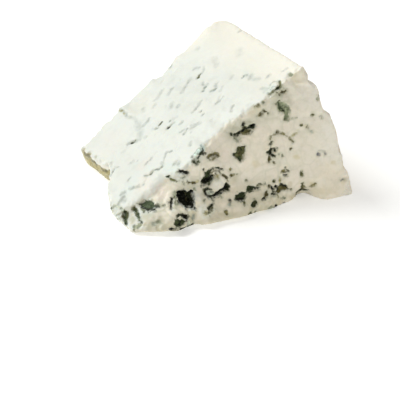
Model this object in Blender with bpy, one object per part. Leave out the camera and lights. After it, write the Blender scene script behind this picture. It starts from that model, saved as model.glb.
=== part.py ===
"""A wedge of blue cheese: a sector of half a wheel, broken at its tip, lying on one of its two knife cuts.

The wheel's axis runs along Y. The upper cut slopes up from the tip to the rind, the crumbly face
looks along -Y, the wheel's flat rind along +Y, and its curved rind closes the thick end.
Metres, +Z up; the origin is in the middle of the flat base.
"""

import math

import bmesh
import bpy
import numpy as np
from mathutils import noise

MM = 0.001

# The wheel, and how much of it this wedge is
WHEEL_RADIUS = 100 * MM
WHEEL_AXIS_X = -52 * MM
SECTOR = math.radians(34.3)
RIND_EDGE_RADIUS = 7 * MM

# The crumbly front face at the tip's corner, how it runs askew towards the rind and how it leans back
FRONT_Y = -22.5 * MM
FRONT_SKEW = 0.176
FRONT_LEAN = 0.173
BACK_Y = 40.5 * MM
TIP_RADIUS = 5.5 * MM

# How far from the wheel's axis the tip has broken off, along Y, in mm
TIP_EDGE = (
    (-30, 8), (-22, 6), (-9, 4.5), (0, 7.5), (6, 11), (10, 15), (15, 17.5), (21, 14.5), (30, 14),
    (40, 12.5),
)

# The resolutions: steps of the blank's sections, two voxel sizes with their easing, and the triangles kept
SECTION_STEPS = 8
FLAT_STEPS = 13
ROUNDING_STEPS = 6
BLANK_VOXEL = 1.2 * MM
BLANK_EASING = 3
SHAPED_VOXEL = 1.0 * MM
SHAPED_EASING = 1
EASING_FACTOR = 0.5
TRIANGLES = 10400

# How deep inside the cheese a shift of its faces has faded out, and where the curved rind's shift starts
FADE_DEPTH = 16 * MM
RIM_START = 0.8 * WHEEL_RADIUS

# How the front face's foot stands out from its plane, in mm: along the foot, and outwards
FOOT = (
    (-4, 1.5), (2, 6), (8, 7.6), (13, 8.8), (18, 11.5), (23, 8.4), (26, 7), (31, 9), (40, 8), (47, 7.2),
    (54, 4.6), (59, 4.6), (65, 0.2), (70, -1.6), (74, -3.2), (84, 3), (90, 2.4), (98, 1),
)
FOOT_HEIGHT = 15 * MM

# Broad swells and dips of the front face, in mm: along, up, half width, half height, outwards
FRONT_FORMS = (
    (40, 17, 7, 6, 1.1),
    (45, 24, 7, 5, 1.6),
    (36, 27, 5, 4, 1.8),
    (62, 40, 9, 6, -1.5),
    (66, 26, 6, 6, 1.0),
    (78, 1, 3.6, 4.5, -5.5),
    (84, 30, 9, 12, 0.8),
    (14, 8, 7, 4, -2.5),
    (24, 19, 6, 4, -1.5),
    (64.5, 51.5, 2.6, 2, 0.9),
    (38.5, 13.5, 3.6, 2.6, 1.3),
    (12, 1.5, 5, 2.5, 0.9),
    (57, 6, 4, 3, 0.9),
    (30, 2, 3, 4, 0.8),
)

# The same of the sloping face, in mm: from the wheel's axis, along Y, half sizes, outwards
SLOPE_FORMS = (
    (52, 4, 30, 60, 1.7),
    (84, 34, 12, 14, 1.1),
    (24, -6, 8, 10, 0.6),
    (90, -14, 9, 12, -0.5),
    (14, 33, 6, 6, 0.7),
    (30, 42, 6, 6, 0.8),
    (38.5, 42, 2.6, 9, 1.7),
    (56.5, 42, 3, 5, 1.1),
    (63, 41, 4, 5, -1.3),
    (72, 42, 4, 5, 0.9),
    (93, 42, 8, 7, 1.8),
)

# The curved rind's front edge, in mm: height, and outwards
RIM_EDGE = (
    (0, 2.1), (4, 2), (9.2, 1.6), (12.7, -0.5), (16.6, -0.3), (20.7, -0.8), (25, 0.1), (28.6, 0.6),
    (32.8, -0.4), (35.8, -0.2), (37.1, -2), (39, -2), (42, -1.1), (45.9, 0.4), (48.9, 0.1), (49.6, -2.4),
    (51, -0.4), (57, 0),
)

# The ridge where the crumbly face meets the slope, in mm: from the wheel's axis, and how far it stands out
# from the face's plane. The face goes over to it within a band.
RIDGE = (
    (5, -4), (16, -4), (22, -2.2), (24, -3.4), (28, -3.2), (30, -1), (34, 2.2), (38.6, 0.4), (42, 1.9),
    (47.6, 0.2), (50, -2.2), (54, -3), (57, -2.8), (62, -4), (69, -1.9), (73, -1.4), (78, 0.5), (86, 0.2),
    (89, -2), (91, -0.8), (94, -1.8), (99, -0.2),
)
RIDGE_BAND = 15 * MM
RIDGE_SHARE = 0.3

# Where the ridge is rounded, in mm: from the wheel's axis, and how wide
RIDGE_WIDTH = ((5, 5), (22, 6), (29, 7), (35, 4), (39, 1), (99, 1))
# How far in the ridge goes, as a share of that width
RIDGE_CUT = 0.4

# Waves of the whole skin: size, height and seed of each, and the share of them that the smoother sides have
WAVES = ((13 * MM, 0.6 * MM, 3), (5 * MM, 0.3 * MM, 4))
SMOOTH_SHARE = 0.3

# The skin's slant towards the front from which it counts as the crumbly face: a little, and in full
FACING = (0.25, 0.6)
# The upward slant of the skin from which it has waves: the base has none
ABOVE_BASE = (-0.9, -0.6)
# What lies lower than this rests on the table
RESTING = 0.6 * MM

# The mould hollows' outlines are ragged by so much, in waves of this size
RAGGED = 0.7 * MM
RAGGED_SIZE = 3.1 * MM
# A hollow's wall, as shares of the way from its outline to its middle
WALL = (-0.12, 0.45)

# Mould hollows in the front face, in mm and degrees: along, up, half length, half width, turn, depth
FRONT_HOLLOWS = (
    (24.2, 9.7, 4.2, 3.7, -20, 4.5),
    (18.3, 9.3, 2.2, 1.1, 75, 1.8),
    (33.3, 17.2, 3.6, 2.2, 60, 1.8),
    (33.8, 15.3, 2.6, 1.4, 25, 2.4),
    (35.9, 10.3, 4.6, 1.3, 18, 2.0),
    (41.4, 12.4, 1.5, 2.2, 0, 1.8),
    (24.2, 20.6, 2.0, 1.1, -10, 1.3),
    (47.8, 25.0, 3.3, 2.9, 10, 1.2),
    (48.4, 33.1, 2.0, 1.2, 20, 1.3),
    (53.4, 35.0, 2.4, 1.7, 10, 1.8),
    (67.6, 40.6, 4.8, 1.9, -62, 1.4),
    (61.6, 22.8, 1.3, 2.6, 0, 1.7),
    (46.8, 7.8, 3.0, 1.5, 10, 1.4),
    (52.0, 9.4, 2.6, 1.1, -8, 1.2),
    (52.0, 4.0, 1.7, 1.8, 0, 1.2),
    (58.0, 6.8, 1.4, 1.8, -10, 1.2),
    (66.4, 7.0, 3.4, 1.5, -25, 1.3),
    (18.4, 3.0, 2.2, 1.4, 0, 1.2),
    (21.5, 4.0, 2.1, 1.5, 0, 1.6),
    (8.8, 8.3, 4.0, 1.5, 5, 1.0),
    (-1.1, 4.9, 1.4, 3.2, 10, 1.4),
)

PASTE_COLOUR = (0.83, 0.79, 0.66, 1)
PASTE_ROUGHNESS = 0.55


class Face:
    """A flat cut: where it starts, its two directions and the way into the cheese."""

    def __init__(self, origin, along, inward):
        self.origin = np.array(origin)
        self.along = np.array(along) / np.linalg.norm(along)
        self.inward = np.array(inward) / np.linalg.norm(inward)
        self.up = np.cross(self.along, self.inward)
        if self.up[2] + self.up[1] < 0:
            self.up = -self.up

    def local(self, points):
        """Along the face, up the face and depth into the cheese."""
        from_origin = points - self.origin
        return from_origin @ self.along, from_origin @ self.up, from_origin @ self.inward


FRONT = Face(
    (WHEEL_AXIS_X + TIP_RADIUS, FRONT_Y, 0.0),
    (1.0, -FRONT_SKEW, 0.0),
    (FRONT_SKEW, 1.0, -FRONT_LEAN),
)
SLOPE = Face(
    (WHEEL_AXIS_X, 0.0, 0.0),
    (math.cos(SECTOR), 0.0, math.sin(SECTOR)),
    (math.sin(SECTOR), 0.0, -math.cos(SECTOR)),
)


def smooth_step(low, high, value):
    t = np.clip((value - low) / (high - low), 0.0, 1.0)
    return t * t * (3 - 2 * t)


def rows_in_metres(rows, columns):
    """Rows that are written in millimetres, with the given number of leading columns as lengths."""
    table = np.array(rows, float)
    table[:, :columns] *= MM
    return table


def noise_at(points, size, seed):
    """Smooth noise from -1 to 1, its features about this size apart."""
    shifted = points / size + np.array((seed * 7.31, seed * 3.17, seed * 5.73))
    return np.array([noise.noise(p) for p in shifted.tolist()])


def clear_scene():
    for old in list(bpy.data.objects):
        bpy.data.objects.remove(old, do_unlink=True)


def front_y(x, z):
    return FRONT_Y - FRONT_SKEW * (x - WHEEL_AXIS_X - TIP_RADIUS) + FRONT_LEAN * z


def section(y_at_tip):
    """The wedge's outline in XZ at one place along Y: the base, the rind's arc, and the slope to the tip."""
    tip_rows = rows_in_metres(TIP_EDGE, 2)
    tip = np.interp(y_at_tip, tip_rows[:, 0], tip_rows[:, 1])
    into_edge = max(0.0, y_at_tip - (BACK_Y - RIND_EDGE_RADIUS))
    rim = WHEEL_RADIUS - RIND_EDGE_RADIUS + math.sqrt(max(0.0, RIND_EDGE_RADIUS**2 - into_edge**2))
    base = [(r, 0.0) for r in np.linspace(tip, rim, SECTION_STEPS)]
    arc = [(rim, a) for a in np.linspace(0.0, SECTOR, SECTION_STEPS)[1:]]
    slope = [(r, SECTOR) for r in np.linspace(rim, tip, SECTION_STEPS)[1:]]
    return [(WHEEL_AXIS_X + r * math.cos(a), r * math.sin(a)) for r, a in base + arc + slope]


def build_blank(name):
    """The plain wedge: sections from the crumbly face to the flat rind, closed by a cap at each end."""
    edge_start = 1 - RIND_EDGE_RADIUS / (BACK_Y - FRONT_Y)
    quarter = np.linspace(0, math.pi / 2, ROUNDING_STEPS)
    rounding = [edge_start + (1 - edge_start) * math.sin(a) for a in quarter]
    stations = list(np.linspace(0, edge_start, FLAT_STEPS, endpoint=False)) + rounding
    bm = bmesh.new()
    rings = []
    for s in stations:
        outline = section(FRONT_Y + s * (BACK_Y - FRONT_Y))
        rings.append([bm.verts.new((x, (1 - s) * front_y(x, z) + s * BACK_Y, z)) for x, z in outline])
    for ring, following in zip(rings, rings[1:]):
        for i in range(len(ring)):
            j = (i + 1) % len(ring)
            bm.faces.new((ring[i], ring[j], following[j], following[i]))
    bm.faces.new(rings[0][::-1])
    bm.faces.new(rings[-1])
    bmesh.ops.recalc_face_normals(bm, faces=bm.faces)
    mesh = bpy.data.meshes.new(name)
    bm.to_mesh(mesh)
    bm.free()
    obj = bpy.data.objects.new(name, mesh)
    bpy.context.scene.collection.objects.link(obj)
    return obj


def apply_modifiers(obj):
    """Keep what the modifiers make as the object's own mesh."""
    bpy.context.view_layer.update()
    graph = bpy.context.evaluated_depsgraph_get()
    made = bpy.data.meshes.new_from_object(obj.evaluated_get(graph))
    obj.modifiers.clear()
    old = obj.data
    obj.data = made
    bpy.data.meshes.remove(old)


def remesh(obj, voxel, smoothing):
    """An even skin of this voxel size, with its sharp edges eased a little."""
    skin = obj.modifiers.new("even_skin", "REMESH")
    skin.mode = "VOXEL"
    skin.voxel_size = voxel
    ease = obj.modifiers.new("eased_edges", "SMOOTH")
    ease.factor = EASING_FACTOR
    ease.iterations = smoothing
    apply_modifiers(obj)


def coordinates(mesh):
    flat = np.empty(len(mesh.vertices) * 3, np.float32)
    mesh.vertices.foreach_get("co", flat)
    return flat.reshape(-1, 3).astype(float)


def vertex_normals(mesh):
    flat = np.empty(len(mesh.vertices) * 3, np.float32)
    mesh.vertex_normals.foreach_get("vector", flat)
    return flat.reshape(-1, 3).astype(float)


def move_to(mesh, points):
    mesh.vertices.foreach_set("co", points.astype(np.float32).ravel())
    mesh.update()


def forms_height(u, v, rows):
    """The sum of rounded swells and dips."""
    height = np.zeros(len(u))
    for at_u, at_v, half_u, half_v, out in rows_in_metres(rows, 5):
        height += out * np.exp(-(((u - at_u) / half_u) ** 2) - ((v - at_v) / half_v) ** 2)
    return height


def slope_out(points):
    """How far the slope stands out from its plane."""
    u, v, _ = SLOPE.local(points)
    return forms_height(u, v, SLOPE_FORMS)


def front_out(points):
    """How far the crumbly face stands out from its plane: its foot and its forms, up to the broken ridge."""
    u, v, _ = FRONT.local(points)
    foot = rows_in_metres(FOOT, 2)
    out = np.interp(u, foot[:, 0], foot[:, 1]) * (1 - smooth_step(0.0, FOOT_HEIGHT, v))
    out += forms_height(u, v, FRONT_FORMS)
    from_axis, _, below = SLOPE.local(points)
    ridge = rows_in_metres(RIDGE, 2)
    band = np.clip(RIDGE_SHARE * from_axis, 1 * MM, RIDGE_BAND)
    near = 1 - smooth_step(0.0, 1.0, below / band)
    return out + (np.interp(from_axis, ridge[:, 0], ridge[:, 1]) - out) * near


def rounded_ridge(points):
    """The way in that rounds off the ridge of the blank, where it is soft."""
    from_axis, _, below = SLOPE.local(points)
    behind_front = FRONT.local(points)[2]
    rows = rows_in_metres(RIDGE_WIDTH, 2)
    width = np.interp(from_axis, rows[:, 0], rows[:, 1])
    nearness = np.clip(1 - np.abs(behind_front - below) / width, 0, 1)
    nearness *= 1 - smooth_step(1.0, 2.0, np.maximum(behind_front, below) / width)
    middle = FRONT.inward + SLOPE.inward
    return (RIDGE_CUT * width * nearness**2)[:, None] * middle / np.linalg.norm(middle)


def shape_broadly(points):
    """Swell and dip the blank's faces. Each shift fades out inside the cheese, so edges go along with it."""
    behind_front = FRONT.local(points)[2]
    out = front_out(points) * (1 - smooth_step(0.0, FADE_DEPTH, behind_front))
    moved = points - FRONT.inward * out[:, None] + rounded_ridge(points)
    out = slope_out(points) * (1 - smooth_step(0.0, FADE_DEPTH, SLOPE.local(points)[2]))
    moved -= SLOPE.inward * out[:, None]

    from_axis = np.hypot(points[:, 0] - WHEEL_AXIS_X, points[:, 2])
    rim = rows_in_metres(RIM_EDGE, 2)
    out = np.interp(points[:, 2], rim[:, 0], rim[:, 1])
    out *= (1 - smooth_step(0.0, FADE_DEPTH, behind_front)) * smooth_step(RIM_START, WHEEL_RADIUS, from_axis)
    moved[:, 0] += out
    return moved


def hollow_depth(points, u, v, rows):
    """How deep the mould hollows are here. Noise makes each outline ragged."""
    ragged_u = u + RAGGED * noise_at(points, RAGGED_SIZE, 1)
    ragged_v = v + RAGGED * noise_at(points, RAGGED_SIZE, 2)
    deepest = np.zeros(len(u))
    for at_u, at_v, half_u, half_v, turn, depth in rows_in_metres(rows, 4):
        c, s = math.cos(math.radians(turn)), math.sin(math.radians(turn))
        du = (ragged_u - at_u) * c + (ragged_v - at_v) * s
        dv = (ragged_v - at_v) * c - (ragged_u - at_u) * s
        inside = 1 - np.hypot(du / half_u, dv / half_v)
        deepest = np.maximum(deepest, depth * MM * smooth_step(*WALL, inside))
    return deepest


def shape_finely(points, normals):
    """Press in the mould hollows and make the skin uneven, most of all on the crumbly face."""
    facing_front = smooth_step(*FACING, -(normals @ FRONT.inward))
    u, v, _ = FRONT.local(points)
    moved = points + FRONT.inward * (hollow_depth(points, u, v, FRONT_HOLLOWS) * facing_front)[:, None]
    waves = sum(height * noise_at(points, size, seed) for size, height, seed in WAVES)
    share = SMOOTH_SHARE + (1 - SMOOTH_SHARE) * facing_front
    above_base = smooth_step(*ABOVE_BASE, normals[:, 2])
    return moved + normals * (waves * share * above_base)[:, None]


def flatten_base(points):
    """Everything within a hair of the lowest plane lies on it, so the wedge rests flat."""
    resting = points[:, 2] < RESTING
    points[resting, 2] = 0.0
    return points


def decimate(obj, triangles):
    cut = obj.modifiers.new("fewer_faces", "DECIMATE")
    cut.ratio = triangles / (2 * len(obj.data.polygons))
    cut.use_collapse_triangulate = True
    apply_modifiers(obj)


def cheese_material():
    paste = bpy.data.materials.new("cheese_paste")
    paste.use_nodes = True
    shader = paste.node_tree.nodes["Principled BSDF"]
    shader.inputs["Base Color"].default_value = PASTE_COLOUR
    shader.inputs["Roughness"].default_value = PASTE_ROUGHNESS
    shader.inputs["Metallic"].default_value = 0.0
    return paste


def main():
    clear_scene()
    wedge = build_blank("cheese_wedge")
    remesh(wedge, BLANK_VOXEL, BLANK_EASING)
    move_to(wedge.data, shape_broadly(coordinates(wedge.data)))
    move_to(wedge.data, shape_finely(coordinates(wedge.data), vertex_normals(wedge.data)))
    move_to(wedge.data, flatten_base(coordinates(wedge.data)))
    remesh(wedge, SHAPED_VOXEL, SHAPED_EASING)
    decimate(wedge, TRIANGLES)
    move_to(wedge.data, flatten_base(coordinates(wedge.data)))
    wedge.data.materials.clear()
    wedge.data.materials.append(cheese_material())
    wedge.data.shade_smooth()


main()
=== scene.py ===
"""Looks of the blue cheese wedge: its broken and cut faces, its mould, its rind, the light and the camera."""

import math

import bmesh
import bpy
import numpy as np
from mathutils import Matrix, Vector, noise


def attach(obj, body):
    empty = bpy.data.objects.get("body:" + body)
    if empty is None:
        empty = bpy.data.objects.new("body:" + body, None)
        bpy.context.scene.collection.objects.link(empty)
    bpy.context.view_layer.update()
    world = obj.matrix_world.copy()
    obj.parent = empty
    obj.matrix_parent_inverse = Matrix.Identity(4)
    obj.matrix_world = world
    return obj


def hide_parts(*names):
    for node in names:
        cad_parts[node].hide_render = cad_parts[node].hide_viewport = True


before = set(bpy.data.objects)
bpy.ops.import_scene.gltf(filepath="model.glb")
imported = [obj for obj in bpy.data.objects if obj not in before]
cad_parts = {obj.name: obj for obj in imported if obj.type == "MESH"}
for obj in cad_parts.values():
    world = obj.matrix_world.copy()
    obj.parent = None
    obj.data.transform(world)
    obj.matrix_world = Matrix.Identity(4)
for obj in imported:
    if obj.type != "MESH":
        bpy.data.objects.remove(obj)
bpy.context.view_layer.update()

MM = 0.001

# The wheel and the wedge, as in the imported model
WHEEL_RADIUS = 100 * MM
WHEEL_AXIS_X = -52 * MM
SECTOR = math.radians(34.3)
RIND_EDGE_RADIUS = 7 * MM
FRONT_Y = -22.5 * MM
FRONT_SKEW = 0.176
FRONT_LEAN = 0.173
BACK_Y = 40.5 * MM
TIP_RADIUS = 5.5 * MM

# How far from the wheel's axis the tip has broken off, along Y, in mm
TIP_EDGE = (
    (-30, 8), (-22, 6), (-9, 4.5), (0, 7.5), (6, 11), (10, 15), (15, 17.5), (21, 14.5), (30, 14), (40, 12.5),
)

# How finely the blank is cut and the skin is meshed, and how deep the broad shifts reach
SECTION_STEPS = 12
LENGTH_STEPS = 14
ROUNDING_STEPS = 8
BLANK_VOXEL = 0.7 * MM
SKIN_VOXEL = 0.38 * MM
FADE_DEPTH = 16 * MM
TRIANGLES = 195000

# How the front face's foot stands out from its plane, in mm: along the foot, and outwards
FOOT = (
    (-4, 1.5), (2, 6), (8, 7.6), (13, 8.8), (18, 11.5), (23, 8.4), (26, 7), (31, 9), (40, 8), (47, 7.2),
    (54, 4.6), (59, 4.6), (65, 0.2), (70, -1.6), (74, -3.2), (84, 3), (90, 2.4), (98, 1),
)
FOOT_HEIGHT = 15 * MM

# Broad swells and dips of the front face, in mm: along, up, half width, half height, outwards
FRONT_FORMS = (
    (40, 17, 7, 6, 1.1),
    (45, 24, 7, 5, 1.6),
    (36, 27, 5, 4, 1.8),
    (62, 40, 9, 6, -1.5),
    (66, 26, 6, 6, 1.0),
    (78, 1, 3.6, 4.5, -5.5),
    (84, 30, 9, 12, 0.8),
    (14, 8, 7, 4, -2.5),
    (24, 19, 6, 4, -1.5),
    (64.5, 51.5, 2.6, 2, 0.9),
    (38.5, 13.5, 3.6, 2.6, 1.3),
    (12, 1.5, 5, 2.5, 0.9),
    (57, 6, 4, 3, 0.9),
    (30, 2, 3, 4, 0.8),
)

# The same of the sloping face, in mm: from the wheel's axis, along Y, half sizes, outwards
SLOPE_FORMS = (
    (52, 4, 30, 60, 1.7),
    (84, 34, 12, 14, 1.1),
    (24, -6, 8, 10, 0.6),
    (90, -14, 9, 12, -0.5),
    (14, 33, 6, 6, 0.7),
    (30, 42, 6, 6, 0.8),
    (38.5, 42, 2.6, 9, 1.7),
    (56.5, 42, 3, 5, 1.1),
    (63, 41, 4, 5, -1.3),
    (72, 42, 4, 5, 0.9),
    (93, 42, 8, 7, 1.8),
)

# The curved rind's front edge, in mm: height, and outwards
RIM_EDGE = (
    (0, 2.1), (4, 2), (9.2, 1.6), (12.7, -0.5), (16.6, -0.3), (20.7, -0.8), (25, 0.1), (28.6, 0.6),
    (32.8, -0.4), (35.8, -0.2), (37.1, -2), (39, -2), (42, -1.1), (45.9, 0.4), (48.9, 0.1), (49.6, -2.4),
    (51, -0.4), (57, 0),
)

# The ridge where the crumbly face meets the slope, in mm: from the wheel's axis, and how far it stands out
# from the face's plane. The face goes over to it within a band.
RIDGE = (
    (5, -4), (16, -4), (22, -2.2), (24, -3.4), (28, -3.2), (30, -1), (34, 2.2), (38.6, 0.4), (42, 1.9),
    (47.6, 0.2), (50, -2.2), (54, -3), (57, -2.8), (62, -4), (69, -1.9), (73, -1.4), (78, 0.5), (86, 0.2),
    (89, -2), (91, -0.8), (94, -1.8), (99, -0.2),
)
RIDGE_BAND = (1 * MM, 15 * MM)
RIDGE_SHARE = 0.3

# How softly the ridge is rounded, in mm: from the wheel's axis, and how wide
RIDGE_WIDTH = ((5, 5), (22, 6), (29, 7), (35, 4), (39, 1), (99, 1))
RIDGE_CUT = 0.4

# Where the crumbly face is roughest, in mm: along, up, half width, half height, how rough
ROUGH_PLACES = (
    (6, 4, 10, 5, 0.6),
    (22, 7, 7, 6, 0.7),
    (37, 13, 8, 8, 0.8),
    (55, 6, 13, 5, 0.8),
    (50, 34, 7, 4, 0.9),
    (67, 43, 4, 7, 0.7),
    (62, 24, 4, 6, 0.7),
    (31, 27, 4, 3, 0.6),
    (67, 14, 4, 3, 0.6),
)

# Relief of the skin, one row for each noise: its height and the size of its features in mm, and its number
WAVES = ((0.5, 13, 3), (0.22, 5, 4))
FRONT_GRAIN = ((0.12, 2.2, 7), (0.08, 0.9, 8))
ROUGH_GRAIN = ((0.3, 1.6, 14),)
TIP_GRAIN = ((0.4, 2.2, 18),)
RIND_GRAIN = ((0.25, 6, 16), (0.12, 2.6, 17))
STROKES = ((0.15, 3.2, 9),)
FINE_STROKES = ((0.05, 1.3, 10),)
MOULD_GRAIN = 0.22 * MM

# Curds that bulge out: their size and height in mm, the share that their borders take, and the noise's number
ROUGH_CURDS = (4.6, 0.6, 0.6, 13)
TIP_CURDS = (3.6, 0.7, 0.5, 15)

# The creases between larger curds: their size, the borders' share in the shape and in the colour, the number
# of the noise, and their depth
CREASE_SIZE = 6.5 * MM
CREASE_BORDER = 0.28
CREASE_STAIN_AND_SHADE_BORDER = 0.14
CREASE_NUMBER = 6
CREASE_DEPTH = 0.5 * MM

# The knife's strokes on the slope, and the places where it tore the paste a little
KNIFE_TURN = math.radians(18)
STROKE_STRETCH = 1.8
STROKES_END = (76, 92)
TEAR_DEPTH = 0.22 * MM
TEAR_SIZE = 2.4 * MM
TEAR_RANGE = (0.4, 0.65)

# Chips along the edges: how far from an edge they reach, in mm, the sizes of the crumbs that come off, and
# the numbers of their noises
CHIP_REACH = (0.4, 2.4)
LARGE_CHIP = 2.6 * MM
SMALL_CHIP = 1.3 * MM
CHIP_NUMBERS = (33, 34)

# The pale hem that the slope's paste leaves along the broken end of the tip: its width, and how far it is
# drawn down, unevenly, on the near side
HEM = 0.3 * MM
HEM_DRAWN_DOWN = 1.9 * MM
HEM_DRAWN_UP_TO = (26, 33)
HEM_AMOUNT = (1, 0.6, 3.4, 19)

# Where things begin and end, in mm
TIP_END_DEPTH = (1.2, 2.4)
TIP_END_ALONG = ((3, 7), (37, 40))
FRONT_COLOUR_DEPTH = (7, 10)
SLOPE_COLOUR_DEPTH = (3, 5)
RIDGE_COLOUR = (-1.2, 0.8)
CORNER_COLOUR_DEPTH = (4, 8)
COOL_PASTE_END = (70, 92)
CREAM_BY_RIM = (86, 98)
CREAM_BY_BACK = (31.5, 40.5)
CREAM_FROM_AXIS = (60, 80)
RIND_BELOW_SLOPE = (0.8, 3)

# How strongly colours are laid on: evenly, or in patches, by the middle and the spread of the amount, the
# patches' size in mm and the noise's number
WARM_AMOUNT = 0.75
CREAM_AMOUNT = 0.8
OLIVE_SHADE_AMOUNT = 0.7
ROSY_AMOUNT = (0.35, 0.35, 7, 24)
COOL_AMOUNT = (0.75, 0.35, 9, 22)
KHAKI_SHADE_AMOUNT = (0.92, 0.35, 3, 28)
STAIN_AND_SHADE_AMOUNT = (1, 0.5, 2.2, 45)

# How marks are drawn. Their outlines follow the crumbs, and two noises move them along and up the face
CRUMB = 1.2 * MM
CRUMB_NUMBER = 31
CRUMB_PULL = 0.45
WANDER_NUMBERS = (1, 2)
WANDER = 0.3 * MM
WANDER_SIZE = 2.2 * MM
MOTTLE_SIZE = 1.7 * MM
OUTSIDE = -3 * MM
FADE_BEHIND = (2.5 * MM, 4 * MM)
DENT_EDGE = -0.35 * MM
DENT_GRAIN = 0.35
BLOB_WALL = 0.45
LINE_WALL = 0.3
PATCH_WALL = 0.7 * MM
TINT_EDGE = (-0.15, 0.2)
TINT_GRAIN = 0.4
TINT_MOTTLE = 0.25
SMEAR_DEPTH = 0.5 * MM
SMEAR_SPREAD = 1.3
SMEAR_AMOUNT = 1.8
SMEAR_MOTTLE = 1.1

# The few crumbs that a mark spares: how far its edge draws back in them, and from which of the crumbs' values
LINE_GAPS = (0.25 * MM, 0.85, 0.97)
PATCH_GAPS = (0.7 * MM, 0.9, 0.98)

# How stains and painted shade wander off their oval outline, along and then up the face, and how softly they
# end
STAIN_AND_SHADE_WANDER = (((1.3, 5, 41), (0.5, 1.6, 43)), ((1.3, 5, 42), (0.5, 1.6, 44)))
STAIN_AND_SHADE_EDGE = (0.35, 1.25)

# Each numbered noise is taken this many steps further on in one endless field
NOISE_STEP = np.array((7.31, 3.17, 5.73))

# These turn the middle of a crumb into a value that looks random
HASH_WAY = (12.9898, 78.233, 37.719)
HASH_SCALE = 43758.5453

# Mould colours, as light that they reflect; a few marks use them for painted shade
TINTS = {
    "black": (0.003, 0.004, 0.001),
    "deep": (0.020, 0.026, 0.008),
    "forest": (0.038, 0.052, 0.018),
    "moss": (0.075, 0.100, 0.052),
    "fern": (0.330, 0.365, 0.230),
    "slate": (0.110, 0.115, 0.045),
    "umber": (0.090, 0.078, 0.024),
    "olive": (0.185, 0.168, 0.070),
    "straw": (0.46, 0.42, 0.23),
    "grey": (0.28, 0.30, 0.21),
    "ash": (0.45, 0.48, 0.39),
    "steel": (0.36, 0.40, 0.36),
    "mint": (0.50, 0.60, 0.54),
    "violet": (0.27, 0.26, 0.27),
}

# Stains in the paste, and colours laid in the same way as painted shade and painted light
STAIN_SHADE_AND_LIGHT_COLOURS = {
    "sage": (0.54, 0.54, 0.40),
    "khaki": (0.60, 0.54, 0.36),
    "bluish": (0.62, 0.68, 0.62),
    "mint": (0.72, 0.80, 0.74),
    "butter": (0.76, 0.67, 0.42),
    "rosy": (0.86, 0.75, 0.66),
    "peach": (0.98, 0.89, 0.72),
    "chalk": (0.90, 0.93, 0.86),
    "smoke": (0.36, 0.40, 0.36),
}

# The paste's colours; warm is partly painted warm shade, and khaki and olive are painted shade on the broken
# end of the tip
IVORY = (0.86, 0.85, 0.76)
COOL = (0.79, 0.82, 0.77)
CREAM = (0.92, 0.885, 0.78)
WARM = (0.91, 0.845, 0.685)
ROSY = (0.89, 0.80, 0.68)
KHAKI_SHADE = (0.466, 0.40, 0.155)
OLIVE_SHADE = (0.15, 0.135, 0.055)
RIND = (0.80, 0.70, 0.52)

# The material's noises: features to the metre, detail, roughness
GRAINS = {
    "coarse": (260, 3, 0.5),
    "fine": (1100, 3, 0.6),
    "blotch": (560, 4, 0.65),
    "clouds": (430, 4, 0.6),
    "wrinkles": (120, 5, 0.6),
    "veins": (140, 4, 0.7),
}

# Finer colours that noise lays over the paste: on what, which noise, its range, the amounts there, the colour
TOUCHES = (
    (None, "coarse", (0.3, 0.7), (0.0, 0.10), (0.78, 0.75, 0.64)),
    (None, "fine", (0.35, 0.7), (0.0, 0.08), (0.97, 0.97, 0.93)),
    ("crumb", "clouds", (0.46, 0.66), (0.0, 0.30), (0.68, 0.66, 0.49)),
    ("crumb", "clouds", (0.30, 0.44), (0.25, 0.0), (0.95, 0.90, 0.78)),
    ("rind", "wrinkles", (0.35, 0.65), (0.0, 0.6), (0.66, 0.54, 0.36)),
    ("rind", "blotch", (0.58, 0.72), (0.0, 0.6), (0.90, 0.86, 0.74)),
    ("rind", "coarse", (0.60, 0.72), (0.0, 0.5), (0.44, 0.38, 0.25)),
    ("underside", "veins", (0.60, 0.70), (0.0, 0.7), (0.30, 0.33, 0.27)),
)

# Mould in the material: ragged edges in mm, the halo round it on the slope and on the front, and pale specks
RAGGED = (("blotch", 0.40), ("fine", 0.22))
HALO_EDGE = (-1.3, 0.1)
HALO_AMOUNT = 0.55
CORE_EDGE = (-0.45, 0.35)
SLOPE_HALO = (0.62, 0.68, 0.64)
FRONT_HALO = (0.58, 0.58, 0.44)
SPECKS = (0.32, 0.34, 0.24)

# The stage: a floor, one soft lamp and the photograph's view
FLOOR_HALF = 3.0
FLOOR_GAP = 0.05 * MM
FLOOR_GREY = 0.93
FLOOR_GLOW = 0.30
LAMP_PLACE = (-1.10, 1.25, 1.73)
LAMP_AIM = (0.0, 0.0, 0.02)
LAMP_SIZE = 1.2
LAMP_WATTS = 33
LAMP_COLOUR = (0.97, 1.0, 1.0)
SURROUND_COLOUR = (1.0, 0.985, 0.94, 1)
SURROUND_STRENGTH = 0.54
VIEW_TURN = math.radians(-27.7)
VIEW_HEIGHT = math.radians(29.4)
CAMERA_PLACE = (-0.1797, -0.3378, 0.2057)
CAMERA_LENS = 90


class Face:
    """A flat cut: where it starts, its two directions and the way into the cheese. The skin counts as the
    face's own where it looks out of it: not at all at the first value of turn, wholly at the second."""

    def __init__(self, origin, along, inward, turn):
        self.origin = np.array(origin)
        self.along = np.array(along) / np.linalg.norm(along)
        self.inward = np.array(inward) / np.linalg.norm(inward)
        self.up = np.cross(self.along, self.inward)
        if self.up[2] + self.up[1] < 0:
            self.up = -self.up
        self.turn = turn

    def local(self, points):
        """Along the face, up the face and depth into the cheese."""
        from_origin = points - self.origin
        return from_origin @ self.along, from_origin @ self.up, from_origin @ self.inward

    def facing(self, normals, turn=None):
        """How far the skin is the face's own, from 0 to 1."""
        return smooth_step(*(turn or self.turn), -(normals @ self.inward))


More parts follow.
